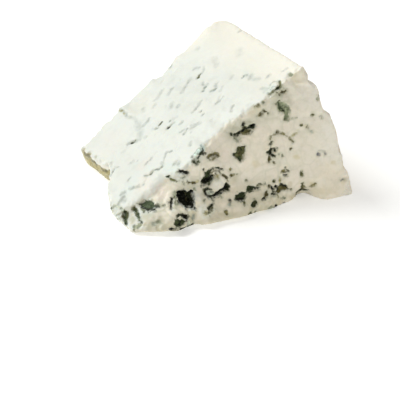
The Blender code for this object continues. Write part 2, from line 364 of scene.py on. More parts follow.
FRONT = Face(
    (WHEEL_AXIS_X + TIP_RADIUS, FRONT_Y, 0.0),
    (1.0, -FRONT_SKEW, 0.0),
    (FRONT_SKEW, 1.0, -FRONT_LEAN),
    (0.25, 0.6),
)
SLOPE = Face(
    (WHEEL_AXIS_X, 0.0, 0.0),
    (math.cos(SECTOR), 0.0, math.sin(SECTOR)),
    (math.sin(SECTOR), 0.0, -math.cos(SECTOR)),
    (0.4, 0.8),
)

# The broken corner at the tip, marked in the direction that shows it best: from the left and above
CORNER = Face(
    (WHEEL_AXIS_X + TIP_RADIUS, FRONT_Y, 0.0),
    (0.885, -0.465, 0.0),
    (0.405, 0.771, -0.491),
    (0.25, 0.6),
)
CORNER_DEPTH = 14 * MM


def smooth_step(low, high, value):
    t = np.clip((value - low) / (high - low), 0.0, 1.0)
    return t * t * (3 - 2 * t)


def between(ends, distance):
    """A smooth step from 0 to 1 between two distances that are given in mm."""
    return smooth_step(ends[0] * MM, ends[1] * MM, distance)


def rows_in_metres(rows, columns):
    """Rows that are written in millimetres, with the given number of leading columns as lengths."""
    table = np.array(rows, float)
    table[:, :columns] *= MM
    return table


def noise_places(points, size, number):
    """The points in the field of this number, for features of this size."""
    return points / size + number * NOISE_STEP


def noise_at(points, size, number):
    """Smooth noise from -1 to 1, its features about this size apart."""
    return np.array([noise.noise(p) for p in noise_places(points, size, number).tolist()])


def crease_at(points, size, number):
    """0 along the borders between rounded curds of about this size, rising inside each."""
    nearest = np.array([noise.voronoi(p)[0][:2] for p in noise_places(points, size, number).tolist()])
    return nearest[:, 1] - nearest[:, 0]


def crumb_at(points, size, number):
    """The way from each point to the middle of its angular crumb, and the crumb's own value from -1 to 1."""
    middles = np.array([noise.voronoi(p)[1][0] for p in noise_places(points, size, number).tolist()])
    own = np.modf(np.abs(np.sin(middles @ HASH_WAY) * HASH_SCALE))[0] * 2 - 1
    return (middles - number * NOISE_STEP) * size - points, own


def relief(points, rows):
    """The sum of the noises in these rows."""
    return sum(height * MM * noise_at(points, size * MM, number) for height, size, number in rows)


def curds(points, size, height, border, number):
    """Rounded curds and the borders between them, half out and half in."""
    return height * MM * (smooth_step(0.0, border, crease_at(points, size * MM, number)) - 0.5)


def uneven(points, middle, spread, size, number):
    """An amount that varies in patches."""
    return middle + spread * noise_at(points, size * MM, number)


def axis_distance(points):
    """The distance from the wheel's axis."""
    return np.hypot(points[:, 0] - WHEEL_AXIS_X, points[:, 2])


def front_y(x, z):
    return FRONT_Y - FRONT_SKEW * (x - WHEEL_AXIS_X - TIP_RADIUS) + FRONT_LEAN * z


def section(y_at_tip):
    """The wedge's outline in XZ at one place along Y: the base, the rind's arc, and the slope to the tip."""
    tip_rows = rows_in_metres(TIP_EDGE, 2)
    tip = np.interp(y_at_tip, tip_rows[:, 0], tip_rows[:, 1])
    into_edge = max(0.0, y_at_tip - (BACK_Y - RIND_EDGE_RADIUS))
    rim = WHEEL_RADIUS - RIND_EDGE_RADIUS + math.sqrt(max(0.0, RIND_EDGE_RADIUS**2 - into_edge**2))
    base = [(r, 0.0) for r in np.linspace(tip, rim, SECTION_STEPS)]
    arc = [(rim, a) for a in np.linspace(0.0, SECTOR, SECTION_STEPS)[1:]]
    slope = [(r, SECTOR) for r in np.linspace(rim, tip, SECTION_STEPS)[1:]]
    return [(WHEEL_AXIS_X + r * math.cos(a), r * math.sin(a)) for r, a in base + arc + slope]


def build_blank(name):
    """The plain wedge: sections from the crumbly face to the flat rind, closed by a cap at each end."""
    edge_start = 1 - RIND_EDGE_RADIUS / (BACK_Y - FRONT_Y)
    quarter_turn = np.linspace(0, math.pi / 2, ROUNDING_STEPS)
    rounding = [edge_start + (1 - edge_start) * math.sin(a) for a in quarter_turn]
    stations = list(np.linspace(0, edge_start, LENGTH_STEPS)[:-1]) + rounding
    bm = bmesh.new()
    rings = []
    for s in stations:
        outline = section(FRONT_Y + s * (BACK_Y - FRONT_Y))
        rings.append([bm.verts.new((x, (1 - s) * front_y(x, z) + s * BACK_Y, z)) for x, z in outline])
    for ring, following in zip(rings, rings[1:]):
        for i in range(len(ring)):
            j = (i + 1) % len(ring)
            bm.faces.new((ring[i], ring[j], following[j], following[i]))
    bm.faces.new(rings[0][::-1])
    bm.faces.new(rings[-1])
    bmesh.ops.recalc_face_normals(bm, faces=bm.faces)
    mesh = bpy.data.meshes.new(name)
    bm.to_mesh(mesh)
    bm.free()
    obj = bpy.data.objects.new(name, mesh)
    bpy.context.scene.collection.objects.link(obj)
    return obj


def apply_modifiers(obj):
    """Keep what the modifiers make as the object's own mesh."""
    bpy.context.view_layer.update()
    graph = bpy.context.evaluated_depsgraph_get()
    made = bpy.data.meshes.new_from_object(obj.evaluated_get(graph))
    obj.modifiers.clear()
    old = obj.data
    obj.data = made
    bpy.data.meshes.remove(old)


def remesh(obj, voxel, smoothing):
    """An even skin of this voxel size, with its sharp edges eased a little."""
    skin = obj.modifiers.new("even_skin", "REMESH")
    skin.mode = "VOXEL"
    skin.voxel_size = voxel
    if smoothing:
        ease = obj.modifiers.new("eased_edges", "SMOOTH")
        ease.factor = 0.5
        ease.iterations = smoothing
    apply_modifiers(obj)


def coordinates(mesh):
    flat = np.empty(len(mesh.vertices) * 3, np.float32)
    mesh.vertices.foreach_get("co", flat)
    return flat.reshape(-1, 3).astype(float)


def vertex_normals(mesh):
    flat = np.empty(len(mesh.vertices) * 3, np.float32)
    mesh.vertex_normals.foreach_get("vector", flat)
    return flat.reshape(-1, 3).astype(float)


def move_to(mesh, points):
    mesh.vertices.foreach_set("co", points.astype(np.float32).ravel())
    mesh.update()


def forms_height(u, v, rows):
    """The sum of rounded swells and dips."""
    height = np.zeros(len(u))
    for at_u, at_v, half_u, half_v, out in rows_in_metres(rows, 5):
        height += out * np.exp(-(((u - at_u) / half_u) ** 2) - ((v - at_v) / half_v) ** 2)
    return height


def slope_out(points):
    """How far the slope stands out from its plane."""
    u, v, _ = SLOPE.local(points)
    return forms_height(u, v, SLOPE_FORMS)


def front_out(points):
    """How far the crumbly face stands out from its plane: its foot and its forms, up to the broken ridge."""
    u, v, _ = FRONT.local(points)
    foot = rows_in_metres(FOOT, 2)
    out = np.interp(u, foot[:, 0], foot[:, 1]) * (1 - smooth_step(0.0, FOOT_HEIGHT, v))
    out += forms_height(u, v, FRONT_FORMS)
    from_axis, _, below = SLOPE.local(points)
    ridge = rows_in_metres(RIDGE, 2)
    band = np.clip(RIDGE_SHARE * from_axis, *RIDGE_BAND)
    near = 1 - smooth_step(0.0, 1.0, below / band)
    return out + (np.interp(from_axis, ridge[:, 0], ridge[:, 1]) - out) * near


def below_slope(points):
    """How far a point lies below the slope."""
    return SLOPE.local(points)[2] + slope_out(points)


def behind_front(points):
    """How far a point lies behind the crumbly face."""
    return FRONT.local(points)[2] + front_out(points)


def rounded_ridge(from_axis, behind, below):
    """The way in that rounds off the ridge, where it is soft. The depths are the blank's."""
    rows = rows_in_metres(RIDGE_WIDTH, 2)
    width = np.interp(from_axis, rows[:, 0], rows[:, 1])
    nearness = np.clip(1 - np.abs(behind - below) / width, 0, 1)
    nearness *= 1 - smooth_step(1.0, 2.0, np.maximum(behind, below) / width)
    middle = FRONT.inward + SLOPE.inward
    return (RIDGE_CUT * width * nearness**2)[:, None] * middle / np.linalg.norm(middle)


def shape_broadly(points):
    """Swell and dip the blank's faces. Each shift fades out inside the cheese, so edges go along with it."""
    behind = FRONT.local(points)[2]
    out = front_out(points) * (1 - smooth_step(0.0, FADE_DEPTH, behind))
    from_axis, _, below = SLOPE.local(points)
    moved = points - FRONT.inward * out[:, None] + rounded_ridge(from_axis, behind, below)
    out = slope_out(points) * (1 - smooth_step(0.0, FADE_DEPTH, below))
    moved -= SLOPE.inward * out[:, None]

    rim = rows_in_metres(RIM_EDGE, 2)
    out = np.interp(points[:, 2], rim[:, 0], rim[:, 1])
    by_rim = smooth_step(0.8, 1.0, axis_distance(points) / WHEEL_RADIUS)
    out *= (1 - smooth_step(0.0, FADE_DEPTH, behind)) * by_rim
    moved[:, 0] += out
    return moved


def to_line(u, v, places):
    """The distance to a line through places that are given in mm."""
    nearest = np.full(len(u), np.inf)
    for start, end in zip(places, places[1:]):
        u0, v0 = start[0] * MM, start[1] * MM
        du, dv = end[0] * MM - u0, end[1] * MM - v0
        t = np.clip(((u - u0) * du + (v - v0) * dv) / (du * du + dv * dv), 0, 1)
        nearest = np.minimum(nearest, np.hypot(u - u0 - t * du, v - v0 - t * dv))
    return nearest


def within(u, v, corners):
    """Which points lie inside the outline with these corners, in mm."""
    inside = np.zeros(len(u), bool)
    for start, end in zip(corners, corners[1:] + corners[:1]):
        u0, v0 = start[0] * MM, start[1] * MM
        u1, v1 = end[0] * MM, end[1] * MM
        if v0 != v1:
            inside ^= ((v0 <= v) != (v1 <= v)) & (u < u0 + (v - v0) * (u1 - u0) / (v1 - v0))
    return inside


def in_oval(u, v, at, half, turn=0.0):
    """0 in the middle of an oval and 1 on its outline. Its centre and half sizes are in mm."""
    c, s = math.cos(math.radians(turn)), math.sin(math.radians(turn))
    du, dv = u - at[0] * MM, v - at[1] * MM
    return np.hypot((du * c + dv * s) / half[0], (dv * c - du * s) / half[1]) / MM


def blend(colour, target, amount):
    """Lay a colour over each vertex's own by this amount, from 0 to 1."""
    colour += (np.array(target) - colour) * np.clip(amount, 0, 1)[:, None]


class Skin:
    """The points of the cheese's skin, with the crumbs and the noise that all marks share."""

    def __init__(self, points):
        self.points = points
        self.towards, self.grain = crumb_at(points, CRUMB, CRUMB_NUMBER)
        self.wander = [WANDER * noise_at(points, WANDER_SIZE, number) for number in WANDER_NUMBERS]
        self.mottle = noise_at(points, MOTTLE_SIZE, 11)


class Marks:
    """What mould and knife left on one face, with some painted shade: how deep each place is pressed in, its
    mould and a few marks of painted shade, and its smears, whose grey is painted shade.
    """

    def __init__(self, skin, face, below):
        u, v, _ = face.local(skin.points)
        self.face = face
        self.u = u + CRUMB_PULL * (skin.towards @ face.along) + skin.wander[0]
        self.v = v + CRUMB_PULL * (skin.towards @ face.up) + skin.wander[1]
        self.below = below
        self.grain = skin.grain
        self.mottle = skin.mottle
        self.pressed = np.zeros(len(u))
        self.field = np.full(len(u), OUTSIDE)
        self.colour = np.zeros((len(u), 3))
        self.smear_shade = np.zeros(len(u))

    def nearness(self, depth):
        """1 where a mark of this depth can be, 0 far behind the face."""
        return 1 - smooth_step(depth + FADE_BEHIND[0], depth + FADE_BEHIND[1], self.below)

    def gaps(self, drawn_back, low, high):
        """How far a mark's edge draws back, in the few crumbs that it spares."""
        return drawn_back * smooth_step(low, high, self.grain)

    def add(self, tint, depth, inside, wall):
        """Add a mark over the earlier ones. Its depth is in mm, inside is the distance in from its edge, and
        it is as deep as it gets once inside reaches wall."""
        depth = depth * MM
        near = self.nearness(depth)
        pressed = depth * smooth_step(DENT_EDGE, wall, inside) * (1 + DENT_GRAIN * self.grain)
        self.pressed = np.maximum(self.pressed, pressed * (near > 0))
        inside = inside * near + OUTSIDE * (1 - near)
        over = between(TINT_EDGE, inside)
        over[(inside > self.field) & (self.field < 0)] = 1
        blend(self.colour, TINTS[tint], over)
        self.field = np.maximum(self.field, inside)

    def blob(self, tint, depth, at, half, turn=0.0):
        """A ragged oval, its centre and half sizes in mm."""
        narrow = min(half) * MM
        self.add(tint, depth, (1 - in_oval(self.u, self.v, at, half, turn)) * narrow, BLOB_WALL * narrow)

    def line(self, tint, depth, width, *places):
        """A crack or vein of this width through places, all in mm."""
        inside = width * MM / 2 - to_line(self.u, self.v, places) - self.gaps(*LINE_GAPS)
        self.add(tint, depth, inside, LINE_WALL * width * MM)

    def patch(self, tint, depth, *corners):
        """A ragged patch with these corners, in mm."""
        from_edge = to_line(self.u, self.v, corners + corners[:1])
        inside = np.where(within(self.u, self.v, corners), from_edge, -from_edge)
        self.add(tint, depth, inside - self.gaps(*PATCH_GAPS), PATCH_WALL)

    def shaded_smear(self, strength, width, *places):
        """A shallow dent with a soft grey of painted shade in it, of this width through places, all in mm."""
        across = to_line(self.u, self.v, places) / (SMEAR_SPREAD * width * MM)
        amount = strength * (1 - smooth_step(0.0, 1.0, across)) * (SMEAR_AMOUNT + SMEAR_MOTTLE * self.mottle)
        self.smear_shade = np.maximum(self.smear_shade, amount * self.nearness(0))

    def dents(self, normals):
        """The way that the marks and the smears press the skin in."""
        depth = np.maximum(self.pressed, SMEAR_DEPTH * self.smear_shade)
        return self.face.inward * (depth * self.face.facing(normals))[:, None]

    def tint(self):
        """The colour of the marks, a little different in each crumb."""
        return self.colour * (1 + TINT_GRAIN * self.grain + TINT_MOTTLE * self.mottle)[:, None]


def lay_stains_and_shading(colour, points, face, amount, rows):
    """Lay one face's soft-edged stains, painted shade and painted light over the paste's colour, up to this
    amount.
    """
    along, up, _ = face.local(points)
    u, v = (place + relief(points, rows) for place, rows in zip((along, up), STAIN_AND_SHADE_WANDER))
    amount = amount * uneven(points, *STAIN_AND_SHADE_AMOUNT)
    for tint, strength, *oval in rows:
        inside = 1 - smooth_step(*STAIN_AND_SHADE_EDGE, in_oval(u, v, *oval))
        blend(colour, STAIN_SHADE_AND_LIGHT_COLOURS[tint], strength * inside * amount)


def mark_tip(m):
    """Folds, mould and painted shade of the broken corner at the tip."""
    m.patch("slate", 1.2, (-2.1, 7.9), (-0.9, 7.7), (-0.2, 6.2), (-0.2, 4.4), (-0.8, 1.6), (-1.9, 3.1),
            (-2.6, 5.1))
    m.line("moss", 1.6, 1.2, (-1.8, 7), (-1.4, 5.4), (-1.3, 3.8), (-1.1, 2.4))
    m.line("deep", 1.6, 0.6, (-1.7, 6.4), (-1.4, 4.8))
    m.line("slate", 1.2, 1.4, (2.1, 8.4), (3.1, 7.2), (3.7, 5.8), (4.4, 4.4))
    m.line("moss", 1.2, 0.8, (2.4, 8), (3.2, 6.9), (3.6, 5.6))
    m.line("moss", 0.9, 0.9, (3.8, 5.2), (4.5, 4.1), (5.8, 2.9))
    m.patch("moss", 0.8, (2.8, 10.5), (4.4, 9.7), (5.1, 8.9), (6.9, 8.5), (8.7, 8), (9.9, 8.4), (11.6, 8.7),
            (10.9, 10), (9.6, 11), (7.6, 11.3), (5.9, 10.9), (4.6, 10.5))
    # Grey along the leaf's lower left edge: partly its stem, partly painted shade under it
    m.line("grey", 0.6, 1.1, (4.9, 9), (5.8, 8), (6.4, 7.2))
    m.line("deep", 0.9, 0.8, (4.6, 9.8), (5.3, 8.9), (6.9, 8.4), (8.7, 7.8), (9.7, 8.3))
    m.line("black", 1, 0.6, (5.1, 9.1), (6.6, 8.6), (8, 8.2))
    m.line("grey", 0.6, 1, (2.6, -0.2), (2.8, 1.3), (3.9, 1.1), (4.7, 1.7), (5.5, 2.1))
    m.line("ash", 0.6, 0.8, (-7.6, 8.1), (-6.4, 9.2), (-4.1, 8.9), (-2.9, 7.6), (-2.2, 5.9))
    m.line("ash", 0.4, 0.5, (-5.6, 5.4), (-4.4, 5.7), (-3.2, 6.5))
    m.line("ash", 0.3, 0.5, (-5.8, 4.1), (-3.4, 4.2))
    m.shaded_smear(0.5, 0.9, (-2.3, 13), (-3.5, 11.4), (-4.7, 10.1))
    m.shaded_smear(0.35, 1.2, (-3.5, 11.4), (-1.8, 11.6))
    m.shaded_smear(0.4, 0.9, (0.1, 16.4), (1.9, 16.9), (3.9, 17.2))
    m.shaded_smear(0.5, 1, (-3.6, 13.8), (-2, 15))


def mark_front(m):
    """Mould hollows, cracks and patches of the crumbly face, from the tip to the rind, with a few marks of
    painted shade.
    """
    # The leaf-shaped patch at the tip and its tail
    m.patch("moss", 0.8, (7, 7.5), (8.3, 6.9), (9.4, 6.8), (10.5, 7.2), (12.2, 7.9), (12.1, 8.7),
            (11.5, 9.4), (10, 9.3), (8.5, 8.8), (7.2, 8))
    m.line("deep", 1, 0.8, (8.3, 6.9), (9.4, 6.8), (10.5, 7.2), (12.3, 7.9), (13.4, 8))
    m.line("grey", 0.3, 0.5, (13.4, 8), (15.3, 8.1))
    m.blob("grey", 0.5, (11.1, 3.6), (0.9, 0.7))
    m.blob("ash", 0.2, (9.1, 3.1), (0.7, 0.4))
    # The largest hollow, nearly black, with grey curls and a slit beside it
    m.patch("black", 4.5, (21.4, 12.5), (22.5, 12.9), (23.8, 13.7), (24.4, 13.3), (25.4, 11.8), (27, 12.7),
            (27.6, 12.5), (27.2, 9), (26.9, 5.6), (25.4, 5.8), (23.4, 6.3), (22.3, 7.7), (20.3, 9.2),
            (21, 11.4))
    m.blob("umber", 3.6, (25.2, 8.4), (0.7, 0.6))
    m.blob("deep", 3.8, (26.6, 10), (0.7, 1.8))
    m.line("slate", 3.6, 0.4, (25, 11.9), (25, 10))
    m.line("grey", 0.5, 0.5, (21.5, 12.8), (20.7, 12.9), (20, 12.3), (19.7, 11.1))
    m.line("grey", 0.4, 0.6, (20.5, 12), (20.6, 10.9), (20.2, 9.8))
    m.line("slate", 0.4, 0.5, (19.8, 10.9), (19.9, 9.6), (19.4, 8.6))
    m.line("black", 1.6, 1.1, (19, 10.2), (18.6, 9.8), (18.2, 9.2), (18, 8.3), (17.5, 7.6))
    m.line("black", 1, 0.8, (17, 9), (18.2, 9.3))
    m.line("grey", 0.3, 0.5, (19.5, 8.4), (20.8, 8.4))
    m.line("grey", 0.3, 0.55, (28.1, 13.3), (28.6, 12.5))
    # The bar and the bluish patches along the ridge
    m.line("grey", 0.6, 0.6, (21.4, 20.8), (22.5, 20.8))
    m.line("black", 1.3, 1.2, (22.8, 20.8), (24.1, 20.7), (25.7, 20.1))
    m.line("forest", 0.6, 0.65, (23.1, 18.4), (24, 19))
    m.line("grey", 0.4, 0.45, (23.6, 17.1), (23.9, 15.4))
    m.blob("forest", 0.5, (18.7, 18.5), (0.6, 0.6))
    m.line("slate", 0.5, 0.8, (19.8, 17.3), (21.2, 17.1))
    m.blob("grey", 0.3, (22, 17.1), (0.4, 0.3))
    m.line("umber", 0.6, 0.8, (25.4, 16.4), (26.8, 15.9), (28.4, 15.5))
    m.line("straw", 0.3, 0.45, (28.8, 15.8), (30.8, 15.8))
    m.patch("mint", 0.3, (30.2, 28), (32.6, 29.8), (33.8, 29.6), (33.8, 28.3), (31.2, 26.5), (29.5, 25.9),
            (29.5, 27.2))
    m.line("grey", 0.4, 0.6, (30.7, 28.3), (32.2, 28.7))
    m.line("grey", 0.4, 0.5, (29.6, 27), (30.8, 27.3))
    m.line("forest", 0.7, 0.85, (32.6, 27.8), (31.2, 26.5), (30.2, 25.5))
    m.line("black", 1, 0.85, (33.1, 28.9), (33, 28.1))
    m.line("deep", 0.9, 0.8, (32.9, 27), (33.6, 27))
    m.line("deep", 0.9, 0.75, (28.8, 25.6), (28.5, 24.3), (29.5, 23.5))
    m.line("forest", 0.6, 0.6, (29.5, 23.5), (30.5, 24.7))
    # The eye-shaped hole and the square patch
    m.line("olive", 0.7, 0.7, (34.5, 25.4), (35.6, 26), (36.8, 26.1), (38.2, 25.8), (39.4, 25.4))
    m.line("umber", 1, 0.6, (34.8, 25), (35.8, 25.6), (37.4, 25.3), (39.2, 25.3))
    m.line("olive", 0.6, 0.5, (34.5, 25.2), (35.2, 24.3), (36.6, 23.9), (38.2, 24.4), (39.2, 25.1))
    m.blob("umber", 0.9, (38.7, 25.2), (0.8, 0.5))
    m.patch("slate", 1.2, (47.6, 27.4), (51, 27.3), (50.7, 25.6), (50.1, 23.7), (49, 22.2), (47.8, 21.8),
            (46.6, 22.9), (45.6, 24.5), (46.6, 25.7), (47.1, 26.7))
    m.line("deep", 1.2, 0.5, (47.8, 27.1), (50.8, 27))
    m.line("forest", 1.3, 0.7, (45.9, 24.5), (46.8, 23.2), (47.8, 22.1))
    m.blob("slate", 1.2, (47, 23.7), (1.1, 1))
    m.blob("forest", 1.2, (47.9, 22.6), (1, 0.8))
    m.blob("deep", 1.2, (45.9, 24.7), (0.6, 0.6))
    m.blob("deep", 1.3, (49.3, 26), (0.5, 0.9))
    m.blob("umber", 1.2, (48.3, 24.2), (0.7, 0.9))
    # The curved patch with arcs over it, and the white curd that it wraps
    m.patch("forest", 1.8, (32.2, 20), (33.4, 19.2), (34.5, 20.4), (35.7, 19.9), (35.8, 18.6), (35.2, 17.4),
            (36.5, 16.1), (34.4, 13.9), (31.5, 13.6), (31.6, 14.8), (31, 15.6), (32.1, 16.6), (33, 17.7))
    m.line("black", 2.4, 1.5, (32, 15.2), (33.2, 14.8), (34.4, 15.5), (35.4, 16.7))
    m.blob("black", 2.2, (35.9, 17), (0.9, 0.8))
    m.blob("deep", 0.9, (32.3, 20.3), (0.5, 0.5))
    m.line("deep", 0.8, 0.75, (35, 19.7), (36.3, 20.1), (37.5, 20.3), (39.1, 20.1), (40.5, 19.6))
    m.line("umber", 0.6, 0.6, (35.6, 18.6), (37, 19.2), (38.6, 19), (39.8, 17.8))
    m.line("umber", 0.8, 0.65, (39.8, 17.8), (41, 16.6), (41.9, 15.4))
    m.line("olive", 0.6, 0.45, (41.9, 15.4), (42.5, 14.2))
    m.blob("straw", 0.4, (37.9, 16.8), (0.8, 1))
    m.blob("umber", 0.7, (37.4, 18), (0.5, 0.5))
    m.patch("deep", 1.8, (41.6, 14.3), (42.4, 13.2), (43.1, 11.7), (42.5, 10.4), (41, 10.3), (39.9, 11.3),
            (40.5, 12.7))
    m.patch("ash", 0.9, (32.6, 11.8), (34.8, 11.3), (36.8, 11.2), (35.4, 10), (33.4, 9.8))
    m.line("slate", 1, 1, (32, 11.2), (32.2, 12), (33.3, 12.4))
    m.line("deep", 1.2, 0.8, (33.3, 12.4), (35, 11.7))
    m.line("black", 2, 1.6, (41.2, 11.8), (39.4, 11.1), (37.4, 10.1), (35.9, 9.4))
    m.line("black", 1.6, 1, (35.8, 9.4), (34.4, 9.1), (33.2, 9.6), (32.6, 10.4), (32.3, 11.4))
    m.line("deep", 0.6, 0.6, (34.6, 9), (34.8, 8.3))
    m.line("grey", 0.4, 0.6, (38.1, 9.6), (38.7, 8.7))
    m.blob("grey", 0.3, (31.2, 8.6), (0.5, 0.4))
    m.blob("olive", 0.4, (43.7, 18.9), (0.5, 0.5))
    m.blob("umber", 0.6, (44, 16.7), (0.75, 0.7))
    m.line("straw", 0.2, 0.4, (44.4, 16.7), (47.8, 16.1))
    m.blob("slate", 0.5, (50.5, 13.2), (0.6, 0.65))
    # The lower belt of mould
    m.line("deep", 0.9, 0.85, (34.3, 6.7), (32.9, 5.9), (32.1, 5.6))
    m.line("slate", 0.6, 0.7, (34.2, 5.6), (33.1, 5), (31.9, 4.7), (31.6, 4.1))
    m.line("ash", 0.3, 0.35, (34.4, 5.5), (35.9, 4.9))
    m.line("black", 0.9, 0.9, (41.9, 6.9), (42.1, 6))
    m.blob("ash", 0.3, (41.5, 5.6), (0.6, 0.4))
    m.patch("forest", 1.4, (44.7, 8.2), (46.9, 9.2), (49.7, 9.1), (49, 7.3), (48, 5.6), (45.3, 6.1),
            (43.9, 6.9))
    m.line("black", 1.4, 0.6, (44.7, 6.7), (47.9, 6.1))
    m.line("moss", 0.7, 0.6, (49.4, 8.6), (51, 9.3))
    m.patch("forest", 1.2, (49.8, 9.8), (51.1, 10.9), (53.3, 10.4), (54.9, 9.6), (52.6, 8.6), (50.6, 8.3))
    m.line("black", 1, 0.8, (53.8, 9.2), (55.4, 9.2))
    m.line("slate", 0.6, 0.6, (54.8, 9.9), (55.6, 10.5), (56.9, 10.5))
    m.line("grey", 0.4, 0.5, (57.1, 10.4), (58.6, 10.6))
    m.patch("forest", 1.2, (50.6, 4), (52.4, 5.6), (53.7, 5.1), (53.6, 3.8), (52.5, 2.5), (50.9, 2.8))
    m.blob("slate", 1, (52.3, 4), (0.8, 1))
    m.blob("slate", 0.5, (47.6, 4.9), (0.65, 0.55))
    m.blob("straw", 0.2, (30.4, 4.6), (0.8, 1))
    m.line("olive", 0.4, 1.2, (39, 3.7), (39.2, 2.6))
    m.patch("slate", 0.8, (48.5, 0.9), (50.5, 1.4), (52.7, 0.9), (53.2, -0.5), (50.4, -0.8), (48.8, -0.2))
    m.blob("grey", 0.6, (59.5, 0.6), (1.6, 1))
    m.blob("black", 1, (62.6, 0.2), (0.8, 0.8))
    # Near the tip's foot
    m.patch("forest", 1.2, (17.4, 4.2), (20.2, 4.3), (21.8, 3.2), (20.7, 1.9), (18.8, 1.4), (16.8, 1.6),
            (16.7, 3))
    m.patch("black", 1.6, (19.6, 5.3), (21.6, 5.2), (23.2, 4.7), (24, 3.9), (22.9, 2.8), (21.8, 2.6),
            (20.8, 3.7))
    m.line("deep", 0.8, 0.8, (18.7, 5.2), (20.6, 5))
    # Grey in the hollow right of the lower patch: painted shade
    m.line("ash", 0.3, 0.8, (25.4, 4.2), (24.9, 2.1))
    m.line("black", 1.4, 0.7, (18.2, 2.4), (19.4, 3))
    m.blob("ash", 0.8, (20.6, 3.9), (0.4, 0.3))
    m.blob("ash", 0.4, (22.8, 1.6), (1, 0.7))
    m.line("black", 1, 1, (14.9, 1.2), (16, 1.3), (16.9, 1.1))
    m.line("black", 1, 0.9, (18.7, 0.8), (19.9, 0.7))
    m.line("deep", 0.9, 0.8, (20.2, 0.6), (21.2, 0.5), (22.4, 0.3), (23.6, 0.2), (25.2, 0.8))
    # Streaks and wedges of the right-hand belt
    m.patch("umber", 1.2, (57.8, 8.1), (59, 7.8), (58.8, 6.1), (57.8, 5.5), (56.7, 5.5), (57.4, 7.1))
    m.line("black", 1, 0.7, (55.9, 5.1), (57.3, 5.6))
    m.line("umber", 0.8, 0.7, (59.7, 10), (60.3, 9))
    m.line("black", 1, 0.85, (61.2, 8.9), (62.2, 7.5))
    m.line("deep", 0.9, 0.6, (61.8, 7), (62, 6.1))
    m.line("deep", 1, 1, (60.8, 6.1), (62.4, 5.3))
    m.patch("umber", 1.1, (64.3, 7.9), (65.8, 8.9), (68, 7.5), (69.5, 5.8), (66.5, 6.3), (65.5, 5.6),
            (64.2, 5.2), (63.1, 6))
    m.line("black", 1.1, 0.9, (62.9, 8.9), (63.8, 8), (64.3, 6.9), (63.1, 6))
    m.line("black", 1.3, 0.95, (65.8, 8.9), (66.8, 8), (68.2, 7.3), (69.2, 6.1))
    m.line("umber", 0.7, 0.5, (69.2, 6.1), (70.5, 5.6))
    m.line("olive", 0.6, 0.55, (63.6, 5), (64.3, 3.6))
    m.blob("slate", 0.4, (62.2, 11), (0.65, 0.55))
    m.line("straw", 0.3, 0.55, (65.2, 12.5), (65.2, 9.7))
    m.blob("olive", 0.4, (65.2, 10.7), (0.35, 0.7))
    m.line("grey", 0.5, 0.5, (65.2, 3.1), (67.5, 2.4))
    m.blob("olive", 0.7, (66.6, 14.4), (0.8, 0.7))
    m.line("slate", 0.7, 0.6, (67.7, 16), (68.6, 15.2), (69.3, 14))
    m.line("olive", 0.6, 0.5, (67, 13.7), (68.4, 13.7))
    m.line("black", 1, 0.75, (66.9, 12.7), (68.5, 12.6))
    m.patch("slate", 0.8, (74.7, 13.7), (75.2, 13.2), (76, 11.4), (75.6, 10.6), (74.5, 10.6), (74.2, 12.1))
    m.patch("olive", 0.9, (75.9, 7.6), (76.8, 6.4), (78.2, 3.7), (79.4, 2.9), (76.5, 2.4), (74.3, 1.6),
            (73.8, 2.8), (76.1, 4.5))
    m.line("slate", 0.8, 0.9, (76, 7.4), (76.6, 4.4))
    m.line("deep", 1, 0.6, (76.2, 2.8), (79.2, 2.9))
    m.line("olive", 0.6, 0.75, (79.6, 5.4), (80.8, 6.8))
    m.line("violet", 0.4, 0.7, (92.3, 7), (93.5, 7.1))
    m.blob("violet", 0.7, (82.4, 19.6), (0.6, 0.55))
    m.blob("violet", 0.4, (85.3, 19.6), (0.45, 0.5))
    m.shaded_smear(0.3, 0.6, (81.7, 21), (83.5, 21.4), (85.2, 20.5))
    # The dark streak beside a round curd, with thin arcs from it
    m.line("olive", 0.4, 0.4, (65.1, 31), (67.3, 30.5), (68.9, 29.3), (70.2, 27.8))
    m.line("straw", 0.3, 0.5, (69.6, 28.5), (71.2, 29.3), (73.4, 30.3))
    m.line("olive", 0.3, 0.35, (63.9, 31), (62.1, 30.3), (61.8, 28.7))
    m.blob("umber", 0.8, (64.4, 31.3), (0.8, 0.75))
    m.line("olive", 0.6, 0.7, (70.3, 27.8), (71.3, 26.6))
    m.blob("umber", 0.6, (70.1, 23.9), (0.55, 0.6))
    m.line("slate", 0.6, 0.55, (62, 28), (61.7, 27.2), (61.5, 26.3))
    m.blob("deep", 0.8, (61.3, 26.9), (0.5, 0.5))
    m.line("umber", 1, 0.9, (61, 21.6), (60.6, 19.7))
    m.line("olive", 0.6, 0.6, (61.6, 20.2), (62.9, 18.7))
    m.blob("deep", 0.9, (60.4, 23.6), (0.55, 0.5))
    m.line("deep", 1.7, 1.2, (61.6, 24.6), (61.5, 22.5), (62.9, 21.8))
    m.line("deep", 1.4, 1, (61.6, 24.8), (63.3, 24.6), (63.4, 23.8))
    m.line("grey", 0.5, 0.6, (64.8, 22.2), (65.7, 22.3), (66.4, 21.1))
    m.blob("slate", 0.6, (75, 33.2), (0.55, 0.5))
    m.blob("umber", 0.7, (77.4, 32.1), (0.6, 0.6))
    m.blob("ash", 0.3, (79.1, 30), (0.5, 0.45))
    m.blob("slate", 0.6, (80.1, 36.9), (0.65, 0.6))
    m.line("grey", 0.3, 0.5, (83.6, 35.9), (84, 35))
    m.line("grey", 0.4, 0.55, (82.3, 43.5), (82.3, 42.8))
